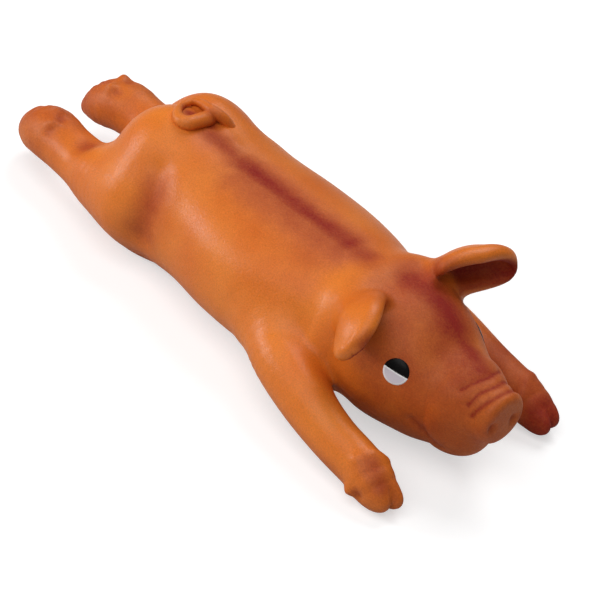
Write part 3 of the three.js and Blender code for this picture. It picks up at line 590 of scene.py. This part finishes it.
def spray_and_shade_of(points):
    """The strongest of many soft strokes and fades, from 0, bare latex, to 1, solid red brown: airbrush, and
    painted shade in creases, hollows, under the chin, low down and on the far side.
    """
    p = other_side(points)
    x, y, z = points.T
    wide = p[:, 1]
    tints_and_shades = strokes(points, ONE_SIDE_SPRAY_AND_SHADE) + strokes(p, BOTH_SIDES_SPRAY_AND_SHADE)
    off_ears = np.min([fade(ear_field(points, ear), 0.5, 6) for ear in EARS.values()], axis=0)
    face = 0.46 * fade(x, 58, 74) * (1 - fade(wide, 23, 28)) * off_ears
    # Painted shade on the far front leg and under the chin.
    far_leg_shade = 0.6 * fade(x, 64, 82) * fade(y, 24, 30) * off_ears
    chin = 0.75 * (1 - fade(z, 4, 17)) * fade(x, 58, 66) * (wide < 24)
    hind_legs = 0.36 * (1 - fade(x, -100, -78)) + 0.25 * (1 - fade(x, -118, -108))
    # The front trotters are sprayed, and the far one darker still as painted shade; low along the body, by
    # the floor, is painted shade too.
    front_toe_spray_and_shade = (0.3 + 0.6 * (y > 0)) * fade(x, 92, 105) * (wide > 28)
    underside = 0.35 * (1 - fade(z, 2, 14))
    tints_and_shades += [face, far_leg_shade, chin, hind_legs, front_toe_spray_and_shade, underside]
    # The ear hollows are sprayed inside, and darker under the top rim than at the lower lip as painted shade.
    for ear in EARS.values():
        s, arc, reach, n = ear_place(points, ear)
        in_ear = fade(s, 0, 0.2) * (1 - fade(ear_field(points, ear), 0.5, 5))
        tints_and_shades.append(in_ear * fade(-n, -0.2, 2) * (0.95 - 0.2 * fade(-arc / reach, 0.3, 1)))
    return np.max(tints_and_shades, axis=0)


skin_spray_and_shade = spray_and_shade_of(skin_points)
print("spray over a half on", round(100 * float((skin_spray_and_shade > 0.5).mean())), "% of the skin")

# %% [markdown]
# ## Parting the skin where it bends
# The real skin is one moulding that bends. The frame has a body for each part that bends, so the skin is
# parted there. Every cut is a plane just before the bend, and both sides share the points on it and keep
# the same normals, so no line shows at rest.

# %% Which part each quad belongs to
NECK = np.array([44, 0, 49.0]), np.array([0.874, 0, 0.485]), 12
HIP_PLANE = -72.5
BACK_OUTER, BACK_INNER = np.array([32, 22]), np.array([18, 10])
OFF_DIAGONAL = 0.03


def leg_plane(side):
    """A point on the cut of a front leg, the direction of the leg and how far the bend runs."""
    return np.array([62, 26.5 * side, 18]), np.array([0.906, 0.402 * side, -0.13]), 32


def ear_plane(ear):
    """The cut of an ear runs aslant, from its free top edge to its lower edge further out."""
    root, length, along, across, _ = ear_frame(**ear)
    return root + 0.12 * length * along + 0.8 * ear["up"] * across, 0.87 * along + 0.48 * across, 14


def past(points, plane):
    """How far points lie beyond a cut, in mm."""
    return (points - plane[0]) @ plane[1]


middles = skin_points[skin_quads].mean(axis=1)
face_here = face_field(middles)
part = np.full(len(skin_quads), "torso", dtype="U24")
inset = (BACK_OUTER - np.abs(middles[:, :2])) / (BACK_OUTER - BACK_INNER)
on_back = (inset > 0).all(axis=1) & (middles[:, 2] > 34)
lengthways = inset[:, 0] < inset[:, 1] - OFF_DIAGONAL
for lies, axis, above, below in ((lengthways, 0, "back_front", "back_rear"),
                                 (~lengthways, 1, "back_left", "back_right")):
    here = on_back & lies
    part[here] = np.where(middles[here, axis] > 0, above, below)
part[on_back & (inset >= 1).all(axis=1)] = "back_middle"
legs_here = {word: limb(middles, LEGS[word + "_front_leg"]) for word, _ in SIDES}
part[(past(middles, NECK) > 0) & (face_here < np.minimum(*legs_here.values()))] = "head"
for word, side in SIDES:
    on_side = side * middles[:, 1] > 0
    on_leg = (past(middles, leg_plane(side)) > 0) & (legs_here[word] < face_here)
    part[on_leg & on_side] = word + "_front_leg"
    part[(middles[:, 0] < HIP_PLANE) & on_side] = word + "_hind_leg"
for name, ear in EARS.items():
    here = ear_field(middles, ear)
    part[(past(middles, ear_plane(ear)) > 0) & (here < 2) & (here < face_here)] = name
for name in np.unique(part):
    print(f"{name}: {(part == name).sum()} quads")

# %% [markdown]
# ## Walls of latex
# Each part gets a wall about 2 mm thick, as the moulding has, thinner in the trotters and ears. A
# Solidify modifier could do it, but then each part would work out its own normals at the cuts, and a line
# would show there. So the inner side and the rim are added as points and quads, and the outer normals
# come from the whole skin.

# %% Closed pieces with a wall
def add_piece(name, points, faces, smooth=True):
    """A mesh object at the origin from points in mm and faces."""
    mesh = bpy.data.meshes.new(name)
    mesh.from_pydata((np.asarray(points) * MM).tolist(), [], [list(map(int, f)) for f in faces])
    mesh.validate()
    if smooth:
        mesh.shade_smooth()
    return link(name, mesh)


def keep_values(piece, name, values):
    """One number for each point, kept with the mesh for the material to read."""
    store = piece.data.attributes.new(name, "FLOAT", "POINT")
    store.data.foreach_set("value", np.asarray(values, np.float32))


def latex_wall(points):
    """Wall in mm: 2 over the body, less towards the toes, the snout and the ears."""
    x = points[:, 0]
    thin = np.maximum(fade(x, 92, 104), 1 - fade(x, -108, -96))
    wall = 2 - 1.3 * thin
    for ear in EARS.values():
        wall = np.where(ear_field(points, ear) < 1, np.minimum(wall, 0.7), wall)
    return wall


def rim_edges(quads):
    """The edges that only one quad has, in that quad's order."""
    edges = np.concatenate([quads[:, [i, (i + 1) % 4]] for i in range(4)])
    size = edges.max() + 1
    key, back_key = edges[:, 0] * size + edges[:, 1], edges[:, 1] * size + edges[:, 0]
    return edges[~np.isin(key, back_key)]


def grid_quads(rows, columns, closed):
    """The quads of a grid of points, which is open, or closed on itself both ways."""
    i, j = np.indices((rows, columns) if closed else (rows - 1, columns - 1)).reshape(2, -1)
    n, k = (i + 1) % rows, (j + 1) % columns
    return np.stack([i * columns + j, n * columns + j, n * columns + k, i * columns + k], axis=1)


def both_sides(quads, count):
    """Quads of an outer layer, of an inner one, whose points come count later, and of the rim between."""
    edges = rim_edges(quads)
    return np.r_[quads, quads[:, ::-1] + count, np.c_[edges[:, ::-1], edges + count]]


def skin_piece(name):
    """One part of the skin with its inner side and its rim."""
    used, quads = np.unique(skin_quads[part == name], return_inverse=True)
    quads = quads.reshape(-1, 4)
    outer, normals = skin_points[used], skin_normals[used]
    inner = outer - latex_wall(outer)[:, None] * normals
    piece = add_piece("latex_" + name, np.r_[outer, inner], both_sides(quads, len(outer)))
    piece.data.normals_split_custom_set_from_vertices(np.r_[normals, -normals].tolist())
    keep_values(piece, "spray_and_shade", np.r_[skin_spray_and_shade[used], skin_spray_and_shade[used]])
    return piece


skin = {name: skin_piece(name) for name in np.unique(part)}
print({name: len(piece.data.polygons) for name, piece in skin.items()})

# %% [markdown]
# ## The tail
# The tail comes up out of the end of the spine, runs round a small hole and closes on its own root. A
# tube along the path would cut through itself where the ring closes, so the tail is a limb in a field of
# its own, with a finer net, and its strands grow together where they touch. It isn't part of the skin, as
# it has to lift.

# %% A curl that closes on its root
TAIL = [(-36.6, 7, 50.4, 2.6), (-37.3, 5.6, 53.6, 2.2), (-38, 4.2, 55.7, 2.1), (-39.6, 2.5, 57.3, 2.1),
        (-42.1, 1.3, 58, 2), (-46, 2, 57.3, 1.8), (-50.2, 2.8, 56.2, 1.5), (-52.6, 1.6, 55.7, 1.35),
        (-53, -1.5, 55.5, 1.35), (-51.2, -6, 55.7, 1.6), (-47.8, -9.9, 56, 2), (-44.2, -11.1, 56.1, 2.4),
        (-42, -9.7, 56.1, 2.65), (-41.4, -6.4, 56.1, 2.75), (-41.6, -2.2, 55.6, 2.9), (-42.2, 1.2, 54.4, 2.9)]


def tail_field(points):
    """The limb of the tail, as round as it is wide."""
    rows = np.array(TAIL)
    return limb(points, np.c_[rows, rows[:, 3]], pieces=48, margin=4)


tail_points, tail_quads = skin_net(tail_field, (-60, -18, 44), (-30, 14, 64), 0.5)
tail_points = settle(tail_field, tail_points, tail_quads, longest=0.4)
tail = add_piece("latex_tail", tail_points, tail_quads)
# Painted shade in the hole of the curl and under the fold where the tail closes on its root, over a faint
# spray.
hole_shade = 1 - fade(lengths(tail_points - TAIL_HOLE), 3, 5.5)
root_shade = 0.7 * stroke(tail_points, [(-41.5, 0.6, 55.5)], 4.5)
keep_values(tail, "spray_and_shade", np.maximum(0.12 + 0.7 * hole_shade, root_shade))
print("tail:", len(tail.data.polygons), "faces")

# %% [markdown]
# ## Eyes
# The eyes are flat inlays, a black half over a white one, flush with the cheek. Each half is a small
# patch, worked out in polar steps round the eye's middle and dropped on to the skin, with a wall under it
# so that it is closed.

# %% Eye halves that lie on the cheek
EYE_RADIUS = 4.55
EYE_WALL = 0.8
EYE_MIDDLE = np.array([82.3, 20.3, 35.4])
EYE_LINE = np.array([7.6, -2.8, -1.3])


def drop(points, towards, rounds=8):
    """Move points along one direction until they lie on the face."""
    for _ in range(rounds):
        value = face_field(points)
        slope = (face_field(points + NUDGE * towards) - value) / NUDGE
        slope = np.where(np.abs(slope) < 0.3, -0.3, slope)
        points = points - np.clip(value / slope, -2, 2)[:, None] * towards
    return points


def eye_half(name, side, start, rings=10, spokes=28):
    """Half a disc from angle start on, as two layers: the cheek with a slight swell, and one under it."""
    middle, line = EYE_MIDDLE * (1, side, 1), EYE_LINE * (1, side, 1)
    out = unit(slope_of(face_field, middle[None], face_field(middle[None]))[0])
    line = unit(line - (line @ out) * out)
    rise = np.cross(out, line)
    rise = rise * np.sign(rise[2])
    half_turn = start + np.linspace(0, np.pi, spokes)
    share, turn = np.meshgrid(np.linspace(0.02, 1, rings), half_turn, indexing="ij")
    spoke = np.cos(turn)[..., None] * line + np.sin(turn)[..., None] * rise
    flat = middle + EYE_RADIUS * share[..., None] * spoke
    skin_level = drop(flat.reshape(-1, 3) + out, -out)
    swell = (0.12 + 0.3 * (1 - share.ravel() ** 2))[:, None] * out
    top, under = skin_level + swell, skin_level - EYE_WALL * out
    quads = grid_quads(rings, spokes, closed=False)
    if np.cross(line, rise) @ out < 0:
        quads = quads[:, ::-1]
    piece = add_piece(name, np.r_[top, under], both_sides(quads, len(top)))
    border = np.minimum(1 - share, np.abs(np.sin(turn)) * share).ravel() * EYE_RADIUS
    keep_values(piece, "border", np.r_[border, border])
    return piece


eyes = {}
for word, side in SIDES:
    eyes[word + "_eye_black"] = eye_half(f"inlay_{word}_eye_black", side, 0)
    eyes[word + "_eye_white"] = eye_half(f"inlay_{word}_eye_white", side, np.pi)
print("eye inlays:", len(eyes))

# %% [markdown]
# ## Plug and squeaker
# The belly has a round plug with a vent, through which the toy breathes. Behind it lies a soft bulb with
# a reed in its neck. Both are turned shapes: a profile of radius and height, carried once round an axis.

# %% Turned pieces
def turned(name, profile, axis, place, around=48):
    """A closed profile of (radius, distance along the axis) carried round Z or X through a place in mm."""
    profile = np.asarray(profile, float)
    turn = np.linspace(0, 2 * np.pi, around, endpoint=False)
    radius, along = profile[:, 0, None], np.repeat(profile[:, 1, None], around, axis=1)
    a, b = radius * np.cos(turn), radius * np.sin(turn)
    order = [along, a, b] if axis == "X" else [a, b, along]
    points = np.stack(order, axis=-1).reshape(-1, 3) + np.asarray(place, float)
    return add_piece(name, points, grid_quads(len(profile), around, closed=True))


def arc(radius, start, end, count):
    """Points on a circle round the profile's origin."""
    turn = np.linspace(start, end, count)
    return np.c_[radius * np.sin(turn), radius * np.cos(turn)]


plug_profile = [(1.5, 0.6), (1.8, 0.3), (7.2, 0.3), (7.9, 0.6), (8.1, 1.2), (8.1, 3.2), (7.8, 3.6),
                (1.8, 3.6), (1.5, 3.2)]
plug = turned("latex_plug", plug_profile, "Z", (*PLUG_PLACE, 0))
BULB_PLACE = np.array([-6, 0, 21.0])
BULB_OUTER, BULB_INNER, NECK_RADIUS, BORE_RADIUS, NECK_END = 13, 12, 5.5, 4.4, 21
neck_angle, bore_angle = np.arcsin(NECK_RADIUS / BULB_OUTER), np.arcsin(BORE_RADIUS / BULB_INNER)
neck_bead = [(NECK_RADIUS, 15), (5.9, 15.4), (5.9, 16.4), (NECK_RADIUS, 16.8)]
bulb_profile = np.r_[arc(BULB_OUTER, np.pi - 0.01, neck_angle, 40), neck_bead,
                     [(NECK_RADIUS, NECK_END), (BORE_RADIUS, NECK_END)],
                     arc(BULB_INNER, bore_angle, np.pi - 0.01, 36)]
bulb = turned("squeaker_bulb_skin", bulb_profile, "X", BULB_PLACE)
print("plug and bulb:", len(plug.data.polygons), len(bulb.data.polygons), "faces")

# %% [markdown]
# ## Fibre filling
# The filling is loose fibre that takes the room it is given. It could be simulated, but it is pressed
# into a shape by the skin round it, so each CAD filling is copied, remeshed evenly, smoothed and then
# made lumpy by moving its points in along their normals, never out, so that it stays clear of the skin.

# %% Lumpy copies of the CAD fillings
FILLING_DEPTH = 2.6
ROOM_AT_ENDS = 0.95


def lumps(points, size):
    """A sum of slow waves in many directions: soft lumps of about that size, from 0 to 1."""
    rng = np.random.default_rng(7)
    total = np.zeros(len(points))
    for scale in (1, 0.55, 0.3):
        for _ in range(5):
            way = unit(rng.normal(size=3)) * 2 * np.pi / (size * scale)
            total += scale * np.sin(points @ way + rng.uniform(0, 6.3))
    return 0.5 + 0.5 * np.tanh(total / 2.2)


def keep_inside(points, depth, rounds=3):
    """Points that lie less than the depth under the skin, moved in along the skin's slope until they do."""
    for _ in range(rounds):
        value = skin_field(points)
        slope = slope_of(skin_field, points, value)
        slope = slope / lengths(slope)[:, None].clip(0.1)
        points = points - np.clip(value + depth, 0, 3)[:, None] * slope
    return points


def filling(node):
    """A fluffed copy of one CAD filling."""
    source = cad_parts[node]
    copy = link("fibre_" + node, source.data.copy())
    shape = bmesh.new()
    shape.from_mesh(copy.data)
    shape.transform(source.matrix_world)
    bmesh.ops.remove_doubles(shape, verts=shape.verts, dist=1e-6)
    shape.to_mesh(copy.data)
    shape.free()
    remesh = copy.modifiers.new("even", "REMESH")
    remesh.mode = "VOXEL"
    remesh.voxel_size = 1.5 * MM
    soften = copy.modifiers.new("soften", "SMOOTH")
    soften.factor, soften.iterations = 0.5, 4
    mesh = bpy.data.meshes.new_from_object(copy.evaluated_get(bpy.context.evaluated_depsgraph_get()))
    copy.modifiers.clear()
    copy.data = mesh
    points, normals = [np.empty(3 * len(mesh.vertices), np.float32) for _ in range(2)]
    mesh.vertices.foreach_get("co", points)
    mesh.vertices.foreach_get("normal", normals)
    points, normals = points.reshape(-1, 3).astype(float), normals.reshape(-1, 3)
    points = points / MM - (0.15 + 0.7 * lumps(points / MM, 9))[:, None] * normals
    points = keep_inside(points, FILLING_DEPTH)
    if node == "upper_wadding":
        points[:, 0] = points[:, 0].mean() + ROOM_AT_ENDS * (points[:, 0] - points[:, 0].mean())
    mesh.vertices.foreach_set("co", (points * MM).astype(np.float32).ravel())
    mesh.materials.clear()
    mesh.shade_smooth()
    mesh.update()
    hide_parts(node)
    return copy


FILLINGS = ["lower_wadding", "upper_wadding", "head_wadding", "right_front_wadding",
            "left_front_wadding", "right_hind_wadding", "left_hind_wadding"]
fillings = {node: filling(node) for node in FILLINGS}
print({node: len(piece.data.polygons) for node, piece in fillings.items()})

# %% [markdown]
# ## Latex
# Latex is a warm orange tan, a little uneven, with a soft broad gloss that its fine grain breaks into
# sparkles. The spray and the painted shade are mixed in by the attribute that the skin carries, with a
# fine speckle at their edge as airbrush has.

# %% Helpers for materials
class Finish:
    """A material with short calls for its nodes."""

    def __init__(self, name):
        self.material = bpy.data.materials.new(name)
        self.material.use_nodes = True
        self.nodes, self.links = self.material.node_tree.nodes, self.material.node_tree.links
        self.shader = self.nodes["Principled BSDF"]

    def node(self, kind, settings=(), **inputs):
        """A new node with its settings and inputs."""
        made = self.nodes.new(kind)
        for key, value in dict(settings).items():
            setattr(made, key, value)
        for key, value in inputs.items():
            self.feed(made, key.replace("_", " "), value)
        return made

    def feed(self, node, socket, value):
        """Link a socket to an input, or set a plain value."""
        target = node.inputs[socket]
        if isinstance(value, bpy.types.NodeSocket):
            self.links.new(value, target)
        else:
            target.default_value = value

    def noise(self, scale, detail=3.0, roughness=0.5):
        """About scale lumps to the metre."""
        where = self.nodes.get("where") or self.node("ShaderNodeTexCoord", {"name": "where"})
        made = self.node("ShaderNodeTexNoise", Vector=where.outputs["Object"], Scale=scale, Detail=detail,
                         Roughness=roughness)
        return made.outputs["Fac"]

    def number(self, operation, a, b, clamp=False):
        """One sum of two numbers."""
        made = self.node("ShaderNodeMath", {"operation": operation, "use_clamp": clamp})
        for i, value in enumerate((a, b)):
            self.feed(made, i, value)
        return made.outputs[0]

    def span(self, value, low, high, to_low, to_high):
        """A value between low and high carried over to another range."""
        made = self.node("ShaderNodeMapRange", {"clamp": True})
        for i, v in enumerate((value, low, high, to_low, to_high)):
            self.feed(made, i, v)
        return made.outputs[0]

    def mix(self, share, a, b):
        """Colour a at share 0, and b at 1."""
        made = self.node("ShaderNodeMix", {"data_type": "RGBA"})
        for i, value in ((0, share), (6, a), (7, b)):
            self.feed(made, i, value)
        return made.outputs[2]

    def attribute(self, name):
        """A number that the mesh keeps for each point."""
        return self.node("ShaderNodeAttribute", {"attribute_name": name}).outputs["Fac"]

    def set(self, **inputs):
        """Values or links for the shader's own sockets."""
        for key, value in inputs.items():
            self.feed(self.shader, key.replace("_", " "), value)

    def bump(self, height, strength, distance, under=None):
        """Fine relief, over another one if that is given."""
        made = self.node("ShaderNodeBump", Strength=strength, Distance=distance, Height=height)
        if under is not None:
            self.links.new(under, made.inputs["Normal"])
        self.links.new(made.outputs["Normal"], self.shader.inputs["Normal"])
        return made.outputs["Normal"]


TAN = (0.68, 0.15, 0.013, 1)
PALE_TAN = (0.78, 0.215, 0.028, 1)
RED_BROWN = (0.265, 0.0105, 0.003, 1)


def latex():
    """Latex: tan in paler and darker patches, red brown by the spray and by painted shade, and a fine grain
    over both.
    """
    f = Finish("latex with spray and painted shade")
    patches = f.span(f.noise(38, 3), 0.35, 0.68, 0, 1)
    fine = f.noise(1900, 2, 0.6)
    speckle = f.number("MULTIPLY_ADD", f.noise(1100, 2, 0.65), 0.34)
    speckle.node.inputs[2].default_value = -0.17
    cloud = f.span(f.noise(120, 4), 0.3, 0.7, -0.09, 0.09)
    # The attribute holds the spray and the painted shade of the creases, hollows, far side and underside.
    spray_and_shade = f.attribute("spray_and_shade")
    edge = f.number("MULTIPLY", f.span(spray_and_shade, 0.02, 0.3, 0, 1), f.number("ADD", speckle, cloud))
    strength = f.number("ADD", spray_and_shade, edge, clamp=True)
    bare = f.mix(patches, TAN, PALE_TAN)
    grain = f.span(fine, 0.3, 0.7, 0.88, 1.12)
    colour = f.mix(strength, bare, RED_BROWN)
    shade = f.node("ShaderNodeVectorMath", {"operation": "SCALE"})
    f.feed(shade, 0, colour)
    f.feed(shade, "Scale", grain)
    gloss = f.span(f.noise(1800, 2), 0.3, 0.7, 0.26, 0.44)
    dull = f.number("ADD", gloss, f.number("MULTIPLY", strength, 0.42))
    f.set(Base_Color=shade.outputs[0], Roughness=dull, Specular_IOR_Level=0.3)
    rough_skin = f.bump(f.noise(420, 3, 0.55), 0.3, 0.00018)
    f.bump(fine, 0.85, 0.00014, rough_skin)
    return f.material


latex_with_painted_shade = latex()
for piece in [*skin.values(), tail]:
    piece.data.materials.append(latex_with_painted_shade)
print("latex on", len(skin) + 1, "pieces")

# %% Plug, eyes, squeaker and fibre
def plain_finish(f, share, low, high, gloss, grain, **more):
    """Two colours mixed by a share, an uneven gloss and a fine grain.

    The gloss is a noise's scale and detail and its range, the grain a noise, its strength and its depth.
    """
    roughness = f.span(f.noise(*gloss[:2]), 0.3, 0.7, *gloss[2:])
    f.set(Base_Color=f.mix(share, low, high), Roughness=roughness, **more)
    f.bump(f.noise(*grain[:2]), *grain[2:])
    return f.material


def plug_latex():
    """Darker, duller latex with fine scuffs."""
    f = Finish("plug latex")
    return plain_finish(f, f.noise(300, 4), (0.30, 0.07, 0.02, 1), (0.40, 0.10, 0.03, 1),
                        (500, 3, 0.45, 0.6), (900, 3, 0.4, 0.0001))


ENAMEL_GRAIN = 250, 2, 0.1, 0.00005


def eye_white():
    """Enamel, white at its border and faintly lilac inside."""
    f = Finish("eye white enamel")
    inside = f.span(f.attribute("border"), 0.35, 0.75, 0, 1)
    return plain_finish(f, inside, (0.97, 0.97, 0.97, 1), (0.74, 0.69, 0.76, 1),
                        (400, 2, 0.16, 0.26), ENAMEL_GRAIN)


def eye_black():
    """Black enamel with a faint unevenness."""
    f = Finish("eye black enamel")
    return plain_finish(f, f.noise(200, 2), (0.004, 0.004, 0.004, 1), (0.009, 0.008, 0.008, 1),
                        (400, 2, 0.22, 0.34), ENAMEL_GRAIN, Specular_IOR_Level=0.12)


def moulded_plastic(name, low, high):
    """Milky moulded plastic with flow marks and a fine grain."""
    f = Finish(name)
    return plain_finish(f, f.noise(90, 4), low, high, (350, 3, 0.34, 0.5), (1200, 2, 0.25, 0.00005))


def fibre():
    """Off-white fibre: long fine strands from a stretched noise, over soft tufts."""
    f = Finish("white fibre")
    where = f.node("ShaderNodeTexCoord").outputs["Object"]
    stretch = f.node("ShaderNodeMapping", Vector=where, Scale=(240, 2400, 1500)).outputs["Vector"]
    strands = f.node("ShaderNodeTexNoise", Vector=stretch, Scale=1.0, Detail=4.0, Distortion=1.6)
    strand = strands.outputs["Fac"]
    tufts = f.noise(260, 4)
    f.set(Base_Color=f.mix(strand, (0.66, 0.63, 0.57, 1), (0.86, 0.84, 0.79, 1)),
          Roughness=f.span(tufts, 0.3, 0.7, 0.85, 1.0), Sheen_Weight=0.4)
    f.bump(strand, 0.7, 0.0003, f.bump(tufts, 0.8, 0.0012))
    return f.material


plug.data.materials.append(plug_latex())
white, black = eye_white(), eye_black()
for name, piece in eyes.items():
    piece.data.materials.append(white if name.endswith("white") else black)
bulb_plastic = moulded_plastic("milky bulb plastic", (0.74, 0.72, 0.64, 1), (0.82, 0.80, 0.72, 1))
reed_plastic = moulded_plastic("pale reed plastic", (0.60, 0.63, 0.66, 1), (0.70, 0.73, 0.75, 1))
bulb.data.materials.append(bulb_plastic)
for node in ("reed_holder", "squeaker_reed", "reed_cap"):
    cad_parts[node].data.materials.clear()
    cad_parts[node].data.materials.append(reed_plastic)
white_fibre = fibre()
for piece in fillings.values():
    piece.data.materials.append(white_fibre)
print("materials:", len(bpy.data.materials))

# %% [markdown]
# ## How the pieces are placed
# Some pieces are tied to a body of the frame: the torso skin, the plug, the bulb and the body's two
# fillings to the torso, the middle of the back to the back, and the eyes to the head. The head, the legs,
# the ears, the tail, the fillings of the head and legs and the four pieces round the middle of the back
# only have their placing baked into their points. The pressed back is a blunt pyramid of five pieces, its
# middle tied to the back.

# %% Tying pieces to bodies and baking the rest
def point(values):
    """Millimetres as a tuple of metres."""
    return tuple(float(v) * MM for v in values)


def bend(piece, plane):
    """Work out where a bend would start, one step past the cut, and where it would end, and bake the piece's
    placing into its points; no blend is made.
    """
    start = plane[0] + STEP * plane[1]
    point(start)
    point(start + plane[2] * plane[1])
    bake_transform(piece)


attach(skin["torso"], "torso")
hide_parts("torso_skin")
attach(skin["back_middle"], "back")
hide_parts("back_panel")
for name, axis, sign in (("front", 0, 1), ("rear", 0, -1), ("left", 1, 1), ("right", 1, -1)):
    start, end = np.zeros(3), np.zeros(3)
    start[axis], end[axis] = sign * BACK_OUTER[axis], sign * BACK_INNER[axis]
    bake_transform(skin["back_" + name], "torso", "back", point(start), point(end))
HIP = np.array([HIP_PLANE, 0, 0]), np.array([-1.0, 0, 0]), 16
for piece in (skin["head"], fillings["head_wadding"]):
    bend(piece, NECK)
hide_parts("head_skin")
for word, side in SIDES:
    for piece in (skin[word + "_front_leg"], fillings[word + "_front_wadding"]):
        bend(piece, leg_plane(side))
    for piece in (skin[word + "_hind_leg"], fillings[word + "_hind_wadding"]):
        bend(piece, HIP)
    bend(skin[word + "_ear"], ear_plane(EARS[word + "_ear"]))
    for limb_name in ("_front_leg", "_hind_leg", "_ear"):
        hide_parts(word + limb_name)
point((-36.2, 6.6, 52))
point((-39.8, 3.6, 52))
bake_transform(tail)
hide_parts("tail")
for name, piece in eyes.items():
    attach(piece, "head")
    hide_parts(name)
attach(plug, "torso")
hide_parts("belly_plug")
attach(bulb, "torso")
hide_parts("squeaker_bulb")
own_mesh(bulb)
for node in ("lower_wadding", "upper_wadding"):
    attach(fillings[node], "torso")
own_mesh(fillings["upper_wadding"])
print("pieces tied:", len(skin) + 1 + len(eyes) + 2 + len(fillings))

# %% [markdown]
# ## Floor and light
# The picture has a plain white ground and soft light, strongest from the left and from above. One large
# lamp on the viewer's side fills the shade, and two smaller ones, at the left and above, make the lights
# on the latex. The floor glows only for the camera, so it looks white without lighting the pig, and it
# keeps a faint shadow.

# %% White ground and soft lamps
floor_points = np.array([(-3, -3, 0), (3, -3, 0), (3, 3, 0), (-3, 3, 0)]) / MM - (0, 0, 0.4)
floor = add_piece("floor", floor_points, [(0, 1, 2, 3)], smooth=False)
ground = Finish("white ground")
ground.set(Base_Color=(0.62, 0.62, 0.62, 1), Roughness=1.0, Specular_IOR_Level=0.0)
seen = ground.node("ShaderNodeLightPath").outputs["Is Camera Ray"]
glow = ground.node("ShaderNodeEmission")
away = ground.node("ShaderNodeVectorMath", {"operation": "LENGTH"})
ground.links.new(ground.node("ShaderNodeTexCoord").outputs["Object"], away.inputs[0])
brightness = ground.span(away.outputs["Value"], 0.35, 1.4, 0.55, 1)
ground.feed(glow, "Strength", ground.number("MULTIPLY", seen, brightness))
both = ground.node("ShaderNodeAddShader")
for i, light in enumerate((ground.shader, glow)):
    ground.feed(both, i, light.outputs[0])
ground.links.new(both.outputs[0], ground.nodes["Material Output"].inputs["Surface"])
floor.data.materials.append(ground.material)

world = bpy.data.worlds.new("studio")
bpy.context.scene.world = world
world.use_nodes = True
sky, lines = world.node_tree.nodes, world.node_tree.links
kinds = "Background", "Background", "MixShader", "LightPath"
plain, shown, choice, ray = [sky.new("ShaderNode" + kind) for kind in kinds]
for node, strength in ((plain, 0.12), (shown, 1.0)):
    node.inputs["Strength"].default_value = strength
    node.inputs["Color"].default_value = (1, 1, 1, 1)
for i, socket in enumerate((ray.outputs["Is Camera Ray"], plain.outputs[0], shown.outputs[0])):
    lines.new(socket, choice.inputs[i])
lines.new(choice.outputs[0], sky["World Output"].inputs["Surface"])


def lamp(name, to_right, to_up, to_back, distance, size, watts):
    """A square soft lamp, placed by the picture's own right, up and towards the viewer, aimed at the pig."""
    way = unit(to_right * right + to_up * up + to_back * back)
    data = bpy.data.lights.new(name, "AREA")
    data.size, data.energy = size, watts
    across = unit(np.cross([0, 0, 1.0], way))
    put_at(link(name, data), (across, np.cross(way, across), way), AIM + way * distance)


lamp("side", -0.87, 0.48, 0.1, 1.2, 0.28, 5.6)
lamp("top", 0.35, 0.9, 0.05, 1.2, 0.6, 6)
lamp("front", -0.15, 0.48, 0.86, 1.3, 1.3, 10.6)
bpy.context.scene.view_settings.view_transform = "Standard"

# %% Updating the scene
bpy.context.view_layer.update()
